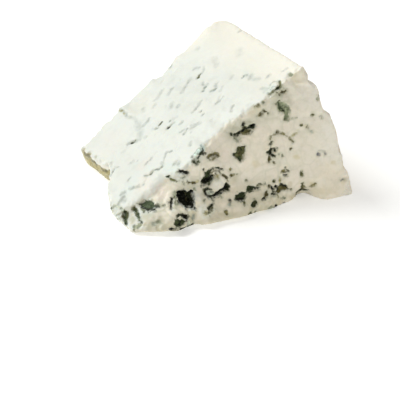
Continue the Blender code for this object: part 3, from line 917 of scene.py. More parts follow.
    # The crumbly patch under the ridge
    m.patch("olive", 0.8, (50, 32.9), (52.2, 33.6), (54.2, 33.2), (53.7, 32), (51.7, 31.5), (50.2, 31.9))
    m.patch("slate", 0.8, (49, 32.8), (50.3, 33.8), (50.8, 35.2), (52.4, 35.1), (53.2, 33.6), (51.4, 32.4))
    m.patch("forest", 1.6, (52.8, 34.9), (53.6, 35.9), (55.8, 35.8), (55.8, 34.3), (54.6, 33.4),
            (52.8, 33.5))
    m.blob("black", 1.9, (55, 35), (0.8, 0.5), 10)
    m.blob("black", 1.7, (53.3, 34.3), (0.55, 0.45))
    m.line("black", 1.3, 1, (50.8, 36.6), (50.9, 35.4))
    m.line("black", 1.4, 1, (54.2, 34.2), (52.4, 33.8))
    m.line("black", 1.4, 1, (51.8, 34.4), (51.4, 33.4), (49.8, 32.9), (49, 32.7))
    m.line("deep", 1.2, 1, (49.5, 32.4), (47.6, 31.8))
    m.line("deep", 0.9, 0.8, (45.7, 32.7), (46.4, 32))
    m.blob("deep", 1.2, (53.6, 32.7), (0.8, 0.5))
    m.line("grey", 0.5, 0.6, (47.1, 31.3), (47.3, 30.3), (48.4, 29.4), (49.2, 30.1))
    m.blob("umber", 0.9, (52.4, 32.4), (0.7, 0.5))
    m.blob("umber", 0.9, (58.1, 39.5), (0.8, 0.8))
    m.line("umber", 0.7, 0.65, (58.8, 40.5), (59.3, 41.3), (60.8, 39.7))
    m.line("straw", 0.4, 0.6, (58.1, 39.7), (56.4, 38.9))
    m.line("olive", 0.5, 0.85, (55.8, 43.2), (57.1, 43.5))
    m.blob("grey", 0.5, (58.9, 44.6), (0.5, 0.5))
    # The green hollow and the flake near the top of the ridge
    m.patch("fern", 1.3, (65.6, 44.5), (66.1, 43.8), (67.8, 43.8), (68.6, 42.2), (70.1, 41.2), (70.4, 39.9),
            (70, 37.9), (70.1, 36.6), (69, 35.5), (67.5, 36.5), (68.2, 38.1), (67, 40), (65.8, 39.5),
            (64.9, 42.6))
    m.line("moss", 1.2, 1, (65.6, 43.4), (66.3, 41.8), (67.6, 40.6))
    m.line("deep", 1.4, 0.6, (65.5, 42.5), (65.8, 41.2), (66.6, 40.5), (67.8, 39.8))
    m.line("slate", 0.7, 0.75, (64.6, 43.3), (65.8, 44.3))
    m.blob("forest", 0.9, (68, 36.3), (0.5, 0.5))
    m.line("grey", 0.3, 0.4, (70.8, 36.4), (73.3, 36.5))
    m.line("olive", 0.5, 0.6, (64.4, 48.3), (65.2, 47.8))
    m.line("slate", 0.8, 0.6, (67.3, 50.9), (66.8, 49.4))
    m.line("deep", 0.9, 0.8, (64, 48.9), (65.1, 49.3), (66, 49.3))
    m.line("umber", 0.8, 0.75, (66.1, 47), (66.6, 47.5), (68.1, 47.8), (69.4, 48.1))
    m.line("slate", 0.6, 0.7, (63.3, 48.6), (63.2, 48))
    m.line("grey", 0.6, 0.7, (61.9, 47.1), (62.7, 47.6))
    m.blob("grey", 0.4, (71.9, 53.8), (0.5, 0.5))


# Smears that the knife drew on the slope: how strong, how wide in mm, and the places that each runs through,
# as distance from the wheel's axis and along Y, in mm
# Each smear is a shallow dent greyed with painted shade
SLOPE_SMEARS = (
    # By the dark pits across the middle
    (0.4, 1.3, (29, 16.5), (31, 14.8), (33.5, 12.5)),
    # Past the thin crack low down
    (0.3, 0.7, (32.4, -12.2), (33, -10.3)),
    (0.35, 0.7, (33.4, -12), (34.2, -10.3), (35.9, -9.2), (37.3, -7.9), (39.2, -9.8)),
    # Along the wide shallow crack that runs in from the far edge, and past it
    (0.45, 1, (37.8, 38.5), (37.8, 36), (37.7, 33)),
    (0.25, 1.1, (37.5, 33), (37.3, 31.6), (38.4, 28.4)),
    (0.16, 1.4, (38.9, 27), (38.5, 23.8)),
    (0.25, 2.2, (38, 22), (37.2, 18.6)),
    (0.2, 2, (36.2, 16), (34.6, 13.4)),
    (0.4, 1.1, (38.8, 18), (40.7, 17.8), (42.4, 18.1), (43, 18.7)),
    (0.6, 0.7, (42.2, 18.1), (42.6, 18.3)),
    # Smears drawn by the knife, from the far edge to the ridge
    (0.25, 1.3, (50.9, 26.1), (52.3, 25.9), (54.3, 26.9), (56.3, 28.2)),
    (0.2, 1.2, (48.1, 22.8), (49.5, 23.7)),
    (0.2, 1.2, (44.1, 25.7), (44.8, 28)),
    (0.3, 1.2, (56.7, 22.3), (58.3, 23.1), (59.6, 23.8)),
    (0.32, 1.1, (61.1, 16.5), (62.6, 17.2), (64.6, 18.5), (67.3, 19.7), (68.4, 20.1)),
    (0.42, 0.8, (63.6, 17.9), (64.4, 18.4)),
    (0.28, 1.4, (53, 13.5), (54.6, 15.3)),
    (0.38, 1.1, (54.6, 10.5), (55.7, 10.8)),
    (0.35, 0.9, (69.9, 17), (70.9, 17.2)),
    (0.25, 0.9, (73.1, 17.4), (74.6, 18.4), (75.8, 20.3)),
    (0.28, 0.9, (72.1, 23.7), (73.5, 23.5), (74.3, 22)),
    (0.4, 0.9, (69.3, 10.3), (70.1, 11.8)),
    (0.4, 0.9, (69.2, 8), (70.6, 8.4)),
    (0.35, 0.8, (70.9, 1.8), (71.6, 1.7)),
    (0.32, 1.2, (71.4, 2.2), (72.8, 4.4), (73.8, 4.3)),
    (0.2, 0.9, (73.4, -0.3), (71.5, -1.1)),
    (0.35, 0.9, (56.9, -0.1), (58.4, 0.1), (60.4, 1), (61.9, 1.7), (63.2, 2.3)),
    (0.5, 0.9, (59.4, -3.3), (59.8, -3.3)),
    (0.5, 0.7, (59.3, -6), (58.4, -6.1)),
    (0.33, 1, (66, -6.2), (67.1, -6.3), (69, -5.9), (70.1, -5.5)),
    (0.45, 0.7, (47.1, -4.5), (48.1, -4.7), (49.1, -4.9)),
    (0.4, 0.7, (47.7, -7.1), (49.2, -7.1), (50.1, -6)),
    (0.35, 0.6, (50, -9.6), (50.3, -9.5)),
    (0.3, 1.2, (52.7, -6.3), (53.9, -7.9), (55.2, -8.6)),
    (0.3, 1.1, (51.6, -7.6), (52.8, -8)),
    (0.3, 1, (47.1, -14.3), (45.9, -15.4)),
    (0.3, 0.9, (49.7, 0.1), (51, -0.1)),
    (0.2, 1.1, (49.3, 6.4), (51, 5.5)),
    (0.25, 1, (78.9, 0.4), (79.7, 1.3)),
    (0.3, 0.8, (83.6, -5.2), (84, -4.9)),
    (0.25, 1.4, (83.6, -8.1), (84.8, -6.7)),
    (0.2, 1.6, (84.3, -9.8), (85.5, -12)),
    (0.25, 1, (87.8, -14.9), (89.3, -14.7)),
    (0.25, 0.9, (93.7, -18.5), (95.6, -19.4)),
    (0.33, 0.9, (67.6, -16.5), (68.5, -15.2), (69.7, -14.6)),
    (0.4, 0.7, (68.5, -22.3), (67.7, -22.8)),
    (0.15, 1.2, (73.6, -20.8), (74.4, -21.2)),
    (0.2, 1, (82.8, -18.4), (84.1, -21.3), (81.9, -21.4)),
    (0.35, 0.5, (85.9, -20.5), (87, -19.9), (88.4, -20.3), (89.2, -22.3)),
    # Near the tip
    (0.38, 0.8, (27.6, -3.9), (29.1, -3.8)),
    (0.33, 0.7, (30.4, -3.9), (31.8, -3.1)),
    (0.35, 0.6, (26.4, 2), (26.7, 2)),
    (0.2, 1.1, (25.2, 4.2), (23.7, 4.7)),
    (0.3, 0.9, (18.2, -3.1), (19.6, -3.2)),
    (0.3, 0.7, (21, -12.2), (21.5, -12.2)),
    (0.4, 1.2, (36.4, -17.1), (37.5, -18), (37.1, -19.2)),
    (0.3, 0.8, (38.5, -23.3), (39.2, -23.1)),
    (0.5, 0.6, (17.2, 10), (15.4, 9), (14.1, 8.3)),
    (0.3, 0.6, (18.1, 10.6), (19.3, 8.5)),
    (0.2, 1.1, (24.7, 14.9), (25.6, 14.4)),
    (0.2, 1.2, (36, 10.8), (36.5, 10.4)),
    # Broad faint ones near the top, and crumbs at the far edge
    (0.15, 1.6, (80.7, 33.6), (81.2, 33)),
    (0.15, 2, (81.9, 19.4), (79.8, 14.8)),
    (0.12, 2.5, (89.8, 9.6), (91, 12)),
    (0.5, 1.2, (66.8, 38.1), (67.4, 38.4)),
    (0.3, 0.9, (98, 22.7), (98.8, 22.5)),
)


def mark_slope(m):
    """Pits, cracks and smears of the knife-cut slope, the smears greyed with painted shade: distance from the
    wheel's axis, then along Y.
    """
    # The few dark pits across the middle
    m.line("deep", 0.8, 0.65, (30, 15.1), (30.6, 14.4), (31.4, 14.2), (32.3, 14.3))
    m.line("steel", 0.5, 0.6, (40.8, 11.4), (42.3, 9), (43, 9))
    m.line("slate", 0.6, 0.6, (43.9, 9.8), (44.6, 9.9), (45.7, 10.3))
    m.line("steel", 0.5, 0.6, (46.5, 3.7), (47.2, 4), (48.6, 3.9))
    m.line("deep", 0.8, 0.9, (44.9, 3.9), (45.8, 4.1), (46.5, 3.7))
    m.blob("steel", 0.3, (48.1, 6.4), (0.4, 0.4))
    m.line("slate", 0.6, 0.8, (70.7, 17.1), (72, 17.6), (73, 17.5))
    m.line("steel", 0.4, 0.7, (66.6, 7), (67.3, 6.7), (68.4, 7.5), (69.2, 8))
    m.line("steel", 0.4, 0.7, (68.9, 2.7), (69.9, 2.1), (70.9, 1.8))
    m.line("steel", 0.3, 0.55, (81.8, -4.7), (82.8, -4.1))
    m.line("steel", 0.3, 0.4, (47, -4.5), (47.9, -4.7))
    # The thin crack low down
    m.line("steel", 0.6, 0.4, (24.2, -9.1), (25.7, -10.8), (27.3, -10.4), (28.6, -10.6), (30.1, -12.3),
            (32.3, -12.5))
    m.line("grey", 0.7, 0.45, (26, -10.9), (27.4, -10.4))
    # The wide shallow crack that runs in from the far edge
    m.line("straw", 0.5, 0.7, (37.4, 38.6), (37.9, 36.2), (37.2, 34.4))
    for strength, width, *places in SLOPE_SMEARS:
        m.shaded_smear(strength, width, *places)


# Soft stains and painted shade of the broken corner: colour, strength, centre and half sizes in mm, and a
# turn if any
TIP_STAINS_AND_SHADE = (
    # Painted shade: rosy and sage between the folds, and sage in the hollow beside the crumb
    ("rosy", 0.8, (1.3, 4.2), (1.8, 3.4)),
    ("sage", 0.9, (1.3, 4.4), (1.8, 3.2)),
    ("sage", 0.75, (7.2, 5.6), (2.8, 2.2)),
    ("sage", 0.3, (-6, 7.5), (4, 4)),
    ("chalk", 0.6, (5.2, 1.2), (3.2, 1.3)),
)

# Greenish and yellowish stains of the crumbly face, with painted shade and painted light among them, in the
# same way
FRONT_STAINS_AND_SHADING = (
    ("sage", 0.75, (66.5, 46), (5, 6.5), 10),
    ("sage", 0.55, (60, 40), (6, 5), 30),
    ("sage", 0.75, (49, 34.5), (7.5, 3.8), 20),
    ("sage", 0.8, (52.5, 36), (4, 2.6), 20),
    ("sage", 0.45, (27, 15), (5, 3.5), 20),
    ("sage", 0.35, (36, 10), (6, 3)),
    ("sage", 0.45, (52, 6.5), (9, 4), 5),
    ("sage", 0.45, (63.5, 6), (5, 4)),
    # Painted shade on the foot near the tip
    ("sage", 0.6, (9, 2.4), (6, 2.4)),
    ("sage", 0.4, (65, 21), (3.6, 4)),
    ("sage", 0.45, (61.5, 24), (2.6, 5)),
    ("sage", 0.4, (45.5, 15), (2.6, 1.4)),
    # Painted warm shade: the khaki rows from here to the one at (69.6, 7.8), along the foot and in the
    # hollows beside the low patches, the broad one at (46, 8) aside
    ("khaki", 0.6, (34, 0.6), (14, 3.4)),
    ("khaki", 0.85, (56, 0), (11, 3.4)),
    ("khaki", 0.6, (16, 1.5), (10, 3.4)),
    ("khaki", 0.3, (46, 8), (18, 6), 8),
    ("khaki", 0.45, (42, 1.6), (11, 2.4)),
    ("khaki", 0.8, (25.3, 4.6), (1.8, 2.4)),
    ("khaki", 0.5, (63.5, 1.4), (3, 2)),
    ("khaki", 0.9, (72.5, 2.4), (3, 2)),
    ("khaki", 0.8, (24.9, 2.9), (1.3, 2.2)),
    ("khaki", 0.7, (50.7, 1.9), (1.4, 1.2)),
    ("khaki", 0.6, (69.6, 7.8), (1.6, 1.2)),
    ("chalk", 0.6, (14, 14.3), (3, 2.2)),
    # Painted light on the right-hand foot, which lies in shade
    ("peach", 0.9, (88, 8), (9, 9)),
    ("peach", 0.6, (89, 5), (7, 6)),
    ("peach", 0.5, (41.5, 26), (4, 4)),
    ("peach", 0.6, (44, 8.5), (20, 3.6), 4),
    ("chalk", 0.6, (29, 11), (1.8, 3.4)),
    ("chalk", 0.4, (23, 17), (3, 1.4)),
    ("peach", 0.5, (56, 26), (12, 9)),
    ("peach", 0.35, (38.5, 14.3), (3.2, 3)),
    ("chalk", 0.5, (38.3, 14.3), (3, 2.8)),
    ("sage", 0.25, (36, 5.5), (9, 3)),
    ("peach", 0.6, (40.5, 4.8), (7, 2.4)),
    ("chalk", 0.6, (30, 5.2), (2.6, 2.4)),
    # Painted warm reflected light along the foot
    ("butter", 0.35, (66, 2.4), (10, 2.6)),
    ("butter", 0.25, (54, 4.5), (6, 2.4)),
    ("khaki", 0.45, (44, 14.8), (3.2, 2.6)),
    ("khaki", 0.35, (78, 5), (4, 4)),
    ("bluish", 0.8, (20.8, 18.8), (5, 2.4)),
    ("bluish", 0.8, (30.5, 26.5), (4.2, 2.6), 55),
    ("bluish", 0.5, (20.4, 10.5), (1.2, 2.6)),
    ("butter", 0.45, (74.5, 53.5), (4, 4.5)),
    ("butter", 0.65, (72.6, 19.6), (1.6, 1.5)),
    ("butter", 0.65, (89.2, 15), (1.5, 1.4)),
    ("butter", 0.35, (93, 5.5), (1.4, 1.3)),
    ("butter", 0.6, (55, 19.3), (2.2, 1.8)),
    ("butter", 0.65, (80.2, 6.2), (1.5, 1.3)),
    ("butter", 0.65, (77.2, 32.4), (1.3, 1.3)),
    ("butter", 0.3, (84, 3), (6, 2)),
    ("butter", 0.4, (72.5, 30.3), (3, 0.8), 20),
    ("butter", 0.3, (56, 42), (4, 3)),
    ("rosy", 0.5, (14, 13), (5, 3)),
    ("rosy", 0.4, (68.8, 45.5), (1.6, 1.6)),
    ("rosy", 0.35, (42, 24), (4, 4)),
)

# Bluish and creamy stains of the sloping face, in the same way
SLOPE_STAINS = (
    ("mint", 0.7, (34, -17.5), (3.6, 6), 20),
    ("mint", 0.4, (28, -9), (2.4, 7)),
    ("mint", 0.6, (14, -8), (7, 4)),
    ("mint", 0.4, (36.3, 14.5), (1.6, 7), -5),
    ("mint", 0.3, (47.5, 1), (4, 8)),
    ("mint", 0.35, (84, -7.5), (2, 8)),
    ("mint", 0.7, (84, -21.5), (3, 3.4)),
    ("mint", 0.3, (54, 31.5), (3, 3)),
    ("mint", 0.4, (66, -22.5), (2.4, 2)),
    ("rosy", 0.15, (24, 26), (8, 9)),
    ("butter", 0.15, (42, 31), (6, 5)),
    ("rosy", 0.35, (27.5, -3), (3, 5), 60),
    ("rosy", 0.35, (22, -12), (6, 5)),
    ("smoke", 0.06, (60, 12), (14, 14)),
    ("smoke", 0.06, (22, 6), (9, 14)),
)


def all_marks(skin):
    """The marks of the crumbly face, the slope and the tip's corner, in that order."""
    behind, below = behind_front(skin.points), below_slope(skin.points)
    rounded = rounded_ridge(SLOPE.local(skin.points)[0], behind, below)
    front = Marks(skin, FRONT, behind - rounded @ FRONT.inward)
    slope = Marks(skin, SLOPE, below - rounded @ SLOPE.inward)
    tip = Marks(skin, CORNER, CORNER.local(skin.points)[2] - CORNER_DEPTH)
    mark_front(front)
    mark_slope(slope)
    mark_tip(tip)
    return front, slope, tip


def chips(points):
    """How deep crumbs have come off along the edges: most on the crumbly face, few along the knife's cuts."""
    front, slope, tip = behind_front(points), below_slope(points), behind_tip(points)
    rim = WHEEL_RADIUS - axis_distance(points)
    back = BACK_Y - points[:, 1]
    base = points[:, 2]
    edges_and_depths = (
        (front, slope, 0.5), (front, rim, 0.9), (front, base, 0.7),
        (slope, back, 0.7), (slope, rim, 0.2), (slope, tip, 1.0),
    )
    large = crumb_at(points, LARGE_CHIP, CHIP_NUMBERS[0])[1]
    small = crumb_at(points, SMALL_CHIP, CHIP_NUMBERS[1])[1]
    lost = smooth_step(0.0, 0.7, large) + 0.5 * smooth_step(0.2, 0.8, small)
    deepest = np.zeros(len(points))
    for one, other, depth in edges_and_depths:
        from_edge = np.maximum(np.maximum(one, other), 0)
        deepest = np.maximum(deepest, depth * MM * lost * (1 - between(CHIP_REACH, from_edge)))
    return deepest


def behind_tip(points):
    """How far a point lies behind the broken end of the tip."""
    edge = rows_in_metres(TIP_EDGE, 2)
    return axis_distance(points) - np.interp(points[:, 1], edge[:, 0], edge[:, 1])


def below_hem(points):
    """How far a point lies below the pale hem along the broken end of the tip."""
    drawn_down = 1 - between(HEM_DRAWN_UP_TO, points[:, 1])
    hem = HEM + HEM_DRAWN_DOWN * drawn_down * uneven(points, *HEM_AMOUNT)
    return below_slope(points) - hem


def tip_end(points):
    """1 on the broken end of the tip, where it is left of the corner, and 0 elsewhere."""
    y = points[:, 1]
    at_end = (1 - between(TIP_END_DEPTH, behind_tip(points))) * between((0, 0.6), below_hem(points))
    return at_end * between(TIP_END_ALONG[0], y) * (1 - between(TIP_END_ALONG[1], y))


def roughness(points):
    """How rough the crumbly face is at each point, from 0 to 1."""
    u, v, _ = FRONT.local(points)
    return np.clip(forms_height(u, v, ROUGH_PLACES) / MM, 0, 1)


def knife_strokes(points):
    """The strokes that the knife drew across the slope. Towards the rind the paste is smoother."""
    u, v, _ = SLOPE.local(points)
    along = u * math.cos(KNIFE_TURN) + v * math.sin(KNIFE_TURN)
    across = v * math.cos(KNIFE_TURN) - u * math.sin(KNIFE_TURN)
    drawn = np.stack((along / STROKE_STRETCH, across, 0 * u), 1)
    torn = TEAR_DEPTH * smooth_step(*TEAR_RANGE, noise_at(drawn, TEAR_SIZE, 12))
    veined = 1 - between(STROKES_END, u + 0.3 * v)
    return veined * (relief(drawn, STROKES) - torn) + relief(drawn, FINE_STROKES)


def shape_finely(points, normals):
    """Press in the marks and roughen the skin: crumbly curds on the front, soft strokes on the slope."""
    on_front, on_slope = FRONT.facing(normals), SLOPE.facing(normals)
    skin = Skin(points)
    front, slope, tip = all_marks(skin)
    moved = points + front.dents(normals) + slope.dents(normals) + tip.dents(normals)

    rough = roughness(points) * on_front
    creases = 1 - smooth_step(0.0, CREASE_BORDER, crease_at(points, CREASE_SIZE, CREASE_NUMBER))
    by_mould = between((-1.6, 0), np.maximum(front.field, tip.field)) * on_front
    out = relief(points, WAVES) * (0.3 + 0.7 * on_front)
    out -= CREASE_DEPTH * creases * (0.12 * on_front + 0.88 * rough)
    out += on_front * relief(points, FRONT_GRAIN)
    out += rough * (curds(points, *ROUGH_CURDS) + relief(points, ROUGH_GRAIN))
    out += MOULD_GRAIN * skin.grain * by_mould
    out += tip_end(points) * (curds(points, *TIP_CURDS) + relief(points, TIP_GRAIN))
    out += on_slope * knife_strokes(points)
    out += rind_side(points, normals) * relief(points, RIND_GRAIN)
    out -= chips(points)
    above_base = smooth_step(-0.9, -0.6, normals[:, 2])
    return moved + normals * (out * above_base)[:, None]


def rind_side(points, normals):
    """1 on the curved and the flat rind, 0 on the paste."""
    by_rim = smooth_step(0.93, 0.97, axis_distance(points) / WHEEL_RADIUS)
    curved = smooth_step(0.45, 0.75, normals[:, 0]) * by_rim
    return np.maximum(curved, smooth_step(0.5, 0.8, normals[:, 1]))


def flatten_base(points):
    """Everything within a hair of the lowest plane lies on it, so the wedge rests flat."""
    resting = points[:, 2] < 0.5 * MM
    points[resting, 2] = 0.0
    return points


def paste_colour(points, normals):
    """The colour laid on the cheese's paste, with its painted shade and painted light but without its mould,
    and how much of it is rind.
    """
    from_axis = axis_distance(points)
    below, behind = below_slope(points), behind_front(points)
    on_slope = SLOPE.facing(normals, (0.45, 0.8)) * between(RIDGE_COLOUR, behind - below)
    on_slope *= 1 - between(SLOPE_COLOUR_DEPTH, below)
    on_front = FRONT.facing(normals, (0.0, 0.4)) * (1 - on_slope)
    on_front *= 1 - between(FRONT_COLOUR_DEPTH, behind)
    on_corner = CORNER.facing(normals, (0.3, 0.6))
    on_corner *= 1 - between(CORNER_COLOUR_DEPTH, CORNER.local(points)[2] - CORNER_DEPTH)
    wander = 5 * MM * noise_at(points, 18 * MM, 21)
    colour = np.tile(IVORY, (len(points), 1))

    # The crumbly face, which lies in shade, takes a warm paste: partly its own tone, partly painted warm
    # shade
    blend(colour, WARM, WARM_AMOUNT * on_front)
    blend(colour, ROSY, on_front * uneven(points, *ROSY_AMOUNT))
    cool = 1 - between(COOL_PASTE_END, from_axis + wander)
    blend(colour, COOL, on_slope * cool * uneven(points, *COOL_AMOUNT))
    # Sage along the creases between curds, most where the face is rough: partly mould in the cracks, partly
    # painted shade in the creases
    creases = 1 - smooth_step(0.0, CREASE_STAIN_AND_SHADE_BORDER, crease_at(points, CREASE_SIZE, CREASE_NUMBER))
    blend(colour, STAIN_SHADE_AND_LIGHT_COLOURS["sage"], on_front * creases * (0.2 + 0.5 * roughness(points)))
    clouds = np.clip(0.8 * noise_at(points, 5 * MM, 25) + 0.6 * noise_at(points, 2.4 * MM, 27), 0, 1)
    blend(colour, STAIN_SHADE_AND_LIGHT_COLOURS["smoke"], on_slope * cool * (0.03 + 0.16 * clouds))
    by_rim = between(CREAM_BY_RIM, from_axis + wander)
    by_back = between(CREAM_BY_BACK, points[:, 1] + wander) * between(CREAM_FROM_AXIS, from_axis)
    blend(colour, CREAM, CREAM_AMOUNT * np.maximum(by_rim, by_back))
    lay_stains_and_shading(colour, points, FRONT, on_front, FRONT_STAINS_AND_SHADING)
    lay_stains_and_shading(colour, points, SLOPE, on_slope, SLOPE_STAINS)
    lay_stains_and_shading(colour, points, CORNER, on_corner, TIP_STAINS_AND_SHADE)

    # Painted shade on the overhanging broken end of the tip: khaki in patches and olive specks, and a darker
    # olive band of painted shadow just under the pale hem
    on_tip = tip_end(points)
    blend(colour, KHAKI_SHADE, on_tip * uneven(points, *KHAKI_SHADE_AMOUNT))
    blend(colour, OLIVE_SHADE, OLIVE_SHADE_AMOUNT * on_tip * smooth_step(0.2, 0.6, noise_at(points, 2.2 * MM, 35)))
    under_hem = 1 - between((0.9, 2.6), below_hem(points) + 1.5 * MM * noise_at(points, 4 * MM, 29))
    blend(colour, OLIVE_SHADE, on_tip * under_hem * smooth_step(-0.45, 0.2, noise_at(points, 2 * MM, 26)))

    rind = rind_side(points, normals) * between(RIND_BELOW_SLOPE, below) * (1 - on_slope)
    blend(colour, RIND, rind)
    return colour, rind


def write_attribute(mesh, name, values):
    """Keep one number or one colour for each vertex, for the material to read."""
    if values.ndim == 1:
        made = mesh.attributes.new(name, "FLOAT", "POINT")
        made.data.foreach_set("value", values.astype(np.float32))
        return
    made = mesh.attributes.new(name, "FLOAT_COLOR", "POINT")
    with_alpha = np.concatenate((values, np.ones((len(values), 1))), 1)
    made.data.foreach_set("color", with_alpha.astype(np.float32).ravel())


def colour_skin(mesh):
    """Give every vertex its paste colour with its painted shade and light, its mould colour and how far
    inside the mould it is, in mm.
    """
    points, normals = coordinates(mesh), vertex_normals(mesh)
    colour, rind = paste_colour(points, normals)
    field = np.full(len(points), -np.inf)
    tint = np.zeros((len(points), 3))
    smear_shade = np.zeros(len(points))
    for marks in all_marks(Skin(points)):
        smear_shade = np.maximum(smear_shade, marks.smear_shade * marks.face.facing(normals))
        over = marks.field > field
        field = np.where(over, marks.field, field)
        tint = np.where(over[:, None], marks.tint(), tint)
    # The smears' painted shade, laid into the paste's colour
    blend(colour, STAIN_SHADE_AND_LIGHT_COLOURS["smoke"], smear_shade)
    write_attribute(mesh, "paste", colour)
    write_attribute(mesh, "mould_and_shade_tint", tint)
    write_attribute(mesh, "mould_inside", field / MM)
    write_attribute(mesh, "rind", rind)
    write_attribute(mesh, "crumb", FRONT.facing(normals, (0.2, 0.6)))
    write_attribute(mesh, "underside", smooth_step(0.8, 0.95, -normals[:, 2]))


def thin_out(obj, triangles):
    """Fewer faces, taken first from the base and the rind, which are smooth."""
    faces = 2 * len(obj.data.polygons)
    if faces <= triangles:
        return
    normals = vertex_normals(obj.data)
    plain = np.maximum(smooth_step(0.5, 0.8, normals[:, 1]), smooth_step(0.5, 0.9, -normals[:, 2]))
    plain = np.maximum(plain, smooth_step(0.5, 0.8, normals[:, 0]))
    group = obj.vertex_groups.new(name="plain")
    for weight in (0.25, 0.5, 0.75, 1.0):
        chosen = np.nonzero((plain > weight - 0.25) & (plain <= weight))[0].tolist()
        group.add(chosen, weight, "REPLACE")
    cut = obj.modifiers.new("fewer_faces", "DECIMATE")
    cut.ratio = triangles / faces
    cut.vertex_group = "plain"
    cut.use_collapse_triangulate = True
    apply_modifiers(obj)
    obj.vertex_groups.clear()


class Nodes:
    """Short ways to add and join a material's nodes."""

    def __init__(self, material):
        material.use_nodes = True
        self.tree = material.node_tree
        self.tree.nodes.clear()

    def add(self, kind, **settings):
        made = self.tree.nodes.new(kind)
        for name, value in settings.items():
            setattr(made, name, value)
        return made

    def join(self, source, target):
        self.tree.links.new(source, target)

    def feed(self, socket, value):
        """Set a socket to a number or a colour, or join another node's output to it."""
        if isinstance(value, tuple) and len(socket.default_value) == 4:
            socket.default_value = (*value, 1)
        elif isinstance(value, (int, float, tuple)):
            socket.default_value = value
        else:
            self.join(value, socket)

    def feed_all(self, node, **values):
        """Feed the inputs of a node. An underscore stands for a space in an input's name."""
        for name, value in values.items():
            self.feed(node.inputs[name.replace("_", " ")], value)
        return node

    def attribute(self, name, output="Fac"):
        return self.add("ShaderNodeAttribute", attribute_name=name).outputs[output]

    def noise(self, place, scale, detail, roughness):
        made = self.add("ShaderNodeTexNoise")
        self.feed_all(made, Vector=place, Scale=scale, Detail=detail, Roughness=roughness)
        return made.outputs["Fac"]

    def map(self, value, ends, amounts, smooth=False):
        made = self.add("ShaderNodeMapRange", interpolation_type="SMOOTHSTEP" if smooth else "LINEAR")
        (low, high), (to_low, to_high) = ends, amounts
        self.feed_all(made, Value=value, From_Min=low, From_Max=high, To_Min=to_low, To_Max=to_high)
        return made.outputs["Result"]

    def math(self, operation, first, second):
        made = self.add("ShaderNodeMath", operation=operation)
        self.feed(made.inputs[0], first)
        self.feed(made.inputs[1], second)
        return made.outputs[0]

    def mix(self, amount, first, second, blend="MIX"):
        made = self.add("ShaderNodeMix", data_type="RGBA", blend_type=blend)
        for place, value in ((0, amount), (6, first), (7, second)):
            self.feed(made.inputs[place], value)
        return made.outputs[2]

    def surface(self, **values):
        """The material's one surface shader, with these inputs."""
        shader = self.feed_all(self.add("ShaderNodeBsdfPrincipled"), **values)
        self.join(shader.outputs["BSDF"], self.add("ShaderNodeOutputMaterial").inputs["Surface"])


def cheese_material():
    """Moist ivory paste, mould whose ragged edge comes from noise, and a matt pale rind."""
    material = bpy.data.materials.new("cheese_paste")
    n = Nodes(material)
    place = n.add("ShaderNodeTexCoord").outputs["Object"]
    grain = {name: n.noise(place, *values) for name, values in GRAINS.items()}
    part = {name: n.attribute(name) for name in ("crumb", "rind", "underside")}

    paste = n.attribute("paste", "Color")
    for where, which, ends, amounts, colour in TOUCHES:
        amount = n.map(grain[which], ends, amounts)
        if where:
            amount = n.math("MULTIPLY", part[where], amount)
        paste = n.mix(amount, paste, colour)

    ragged = n.attribute("mould_inside")
    for which, far in RAGGED:
        ragged = n.math("ADD", ragged, n.map(grain[which], (0.2, 0.8), (-far, far)))
    halo = n.map(ragged, HALO_EDGE, (0.0, HALO_AMOUNT), smooth=True)
    core = n.map(ragged, CORE_EDGE, (0.0, 1.0), smooth=True)
    tint = n.attribute("mould_and_shade_tint", "Color")
    tint = n.mix(1.0, tint, n.map(grain["blotch"], (0.3, 0.72), (0.45, 1.6)), "MULTIPLY")
    tint = n.mix(n.map(grain["fine"], (0.55, 0.75), (0.0, 0.30)), tint, SPECKS)
    colour = n.mix(halo, paste, n.mix(part["crumb"], SLOPE_HALO, FRONT_HALO))
    colour = n.mix(core, colour, tint)

    height = n.math("ADD", grain["coarse"], n.math("MULTIPLY", grain["fine"], 0.5))
    rough_part = n.math("ADD", n.math("ADD", part["crumb"], 0.3), n.math("MULTIPLY", part["rind"], 0.8))
    bump = n.add("ShaderNodeBump")
    n.feed_all(bump, Strength=0.35, Distance=0.25 * MM, Height=n.math("MULTIPLY", height, rough_part))
    n.surface(
        Base_Color=colour,
        Roughness=n.map(core, (0.0, 1.0), (0.42, 0.9)),
        Normal=bump.outputs["Normal"],
        Specular_IOR_Level=0.3,
        Subsurface_Weight=0.15,
        Subsurface_Radius=(1.0, 0.75, 0.45),
        Subsurface_Scale=1.2 * MM,
    )
    return material


def build_cheese():
    wedge = build_blank("blue_cheese")
    remesh(wedge, BLANK_VOXEL, 3)
    move_to(wedge.data, shape_broadly(coordinates(wedge.data)))
    remesh(wedge, SKIN_VOXEL, 1)
    move_to(wedge.data, shape_finely(coordinates(wedge.data), vertex_normals(wedge.data)))
    move_to(wedge.data, flatten_base(coordinates(wedge.data)))
    remesh(wedge, SKIN_VOXEL, 0)
    thin_out(wedge, TRIANGLES)
    move_to(wedge.data, flatten_base(coordinates(wedge.data)))
    colour_skin(wedge.data)
    wedge.data.materials.clear()
    wedge.data.materials.append(cheese_material())
    wedge.data.shade_smooth()
    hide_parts("cheese_wedge")
    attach(wedge, "root")


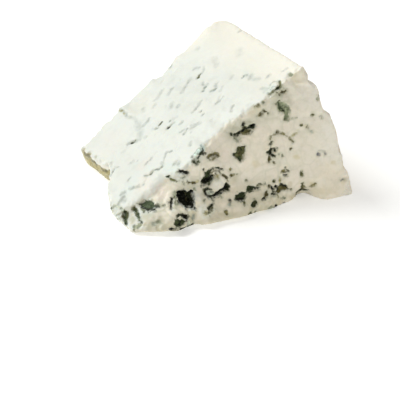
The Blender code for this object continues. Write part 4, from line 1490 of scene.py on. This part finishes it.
def build_floor():
    """A plain white floor that runs out of view on all sides."""
    corners = [(x * FLOOR_HALF, y * FLOOR_HALF, 0) for x, y in ((-1, -1), (1, -1), (1, 1), (-1, 1))]
    mesh = bpy.data.meshes.new("floor")
    mesh.from_pydata(corners, [], [(0, 1, 2, 3)])
    floor = bpy.data.objects.new("floor", mesh)
    floor.location.z = -FLOOR_GAP
    bpy.context.scene.collection.objects.link(floor)
    material = bpy.data.materials.new("floor_white")
    Nodes(material).surface(
        Base_Color=(FLOOR_GREY, FLOOR_GREY, FLOOR_GREY),
        Roughness=0.9,
        Specular_IOR_Level=0.1,
        Emission_Color=(1.0, 1.0, 1.0),
        Emission_Strength=FLOOR_GLOW,
    )
    floor.data.materials.append(material)


def light_scene():
    """A large soft light high on the left, and an even white surround."""
    data = bpy.data.lights.new("key", "AREA")
    data.shape = "DISK"
    data.size = LAMP_SIZE
    data.energy = LAMP_WATTS
    data.color = LAMP_COLOUR
    lamp = bpy.data.objects.new("key", data)
    lamp.location = LAMP_PLACE
    lamp.rotation_euler = (Vector(LAMP_AIM) - Vector(LAMP_PLACE)).to_track_quat("-Z", "Y").to_euler()
    bpy.context.scene.collection.objects.link(lamp)
    world = bpy.data.worlds.new("surround")
    bpy.context.scene.world = world
    world.use_nodes = True
    background = world.node_tree.nodes["Background"]
    background.inputs["Color"].default_value = SURROUND_COLOUR
    background.inputs["Strength"].default_value = SURROUND_STRENGTH


def add_camera():
    """The photograph's view: from the left and above, a long lens about 0.43 m away."""
    level = math.cos(VIEW_HEIGHT)
    back = Vector((math.sin(VIEW_TURN) * level, -math.cos(VIEW_TURN) * level, math.sin(VIEW_HEIGHT)))
    right = Vector((math.cos(VIEW_TURN), math.sin(VIEW_TURN), 0))
    data = bpy.data.cameras.new("camera")
    data.lens = CAMERA_LENS
    data.sensor_width = 36
    data.clip_start = 0.01
    camera = bpy.data.objects.new("camera", data)
    pose = Matrix((right, back.cross(right), back)).transposed().to_4x4()
    pose.translation = Vector(CAMERA_PLACE)
    camera.matrix_world = pose
    bpy.context.scene.collection.objects.link(camera)
    bpy.context.scene.camera = camera


build_cheese()
build_floor()
light_scene()
add_camera()
bpy.context.scene.view_settings.view_transform = "Standard"
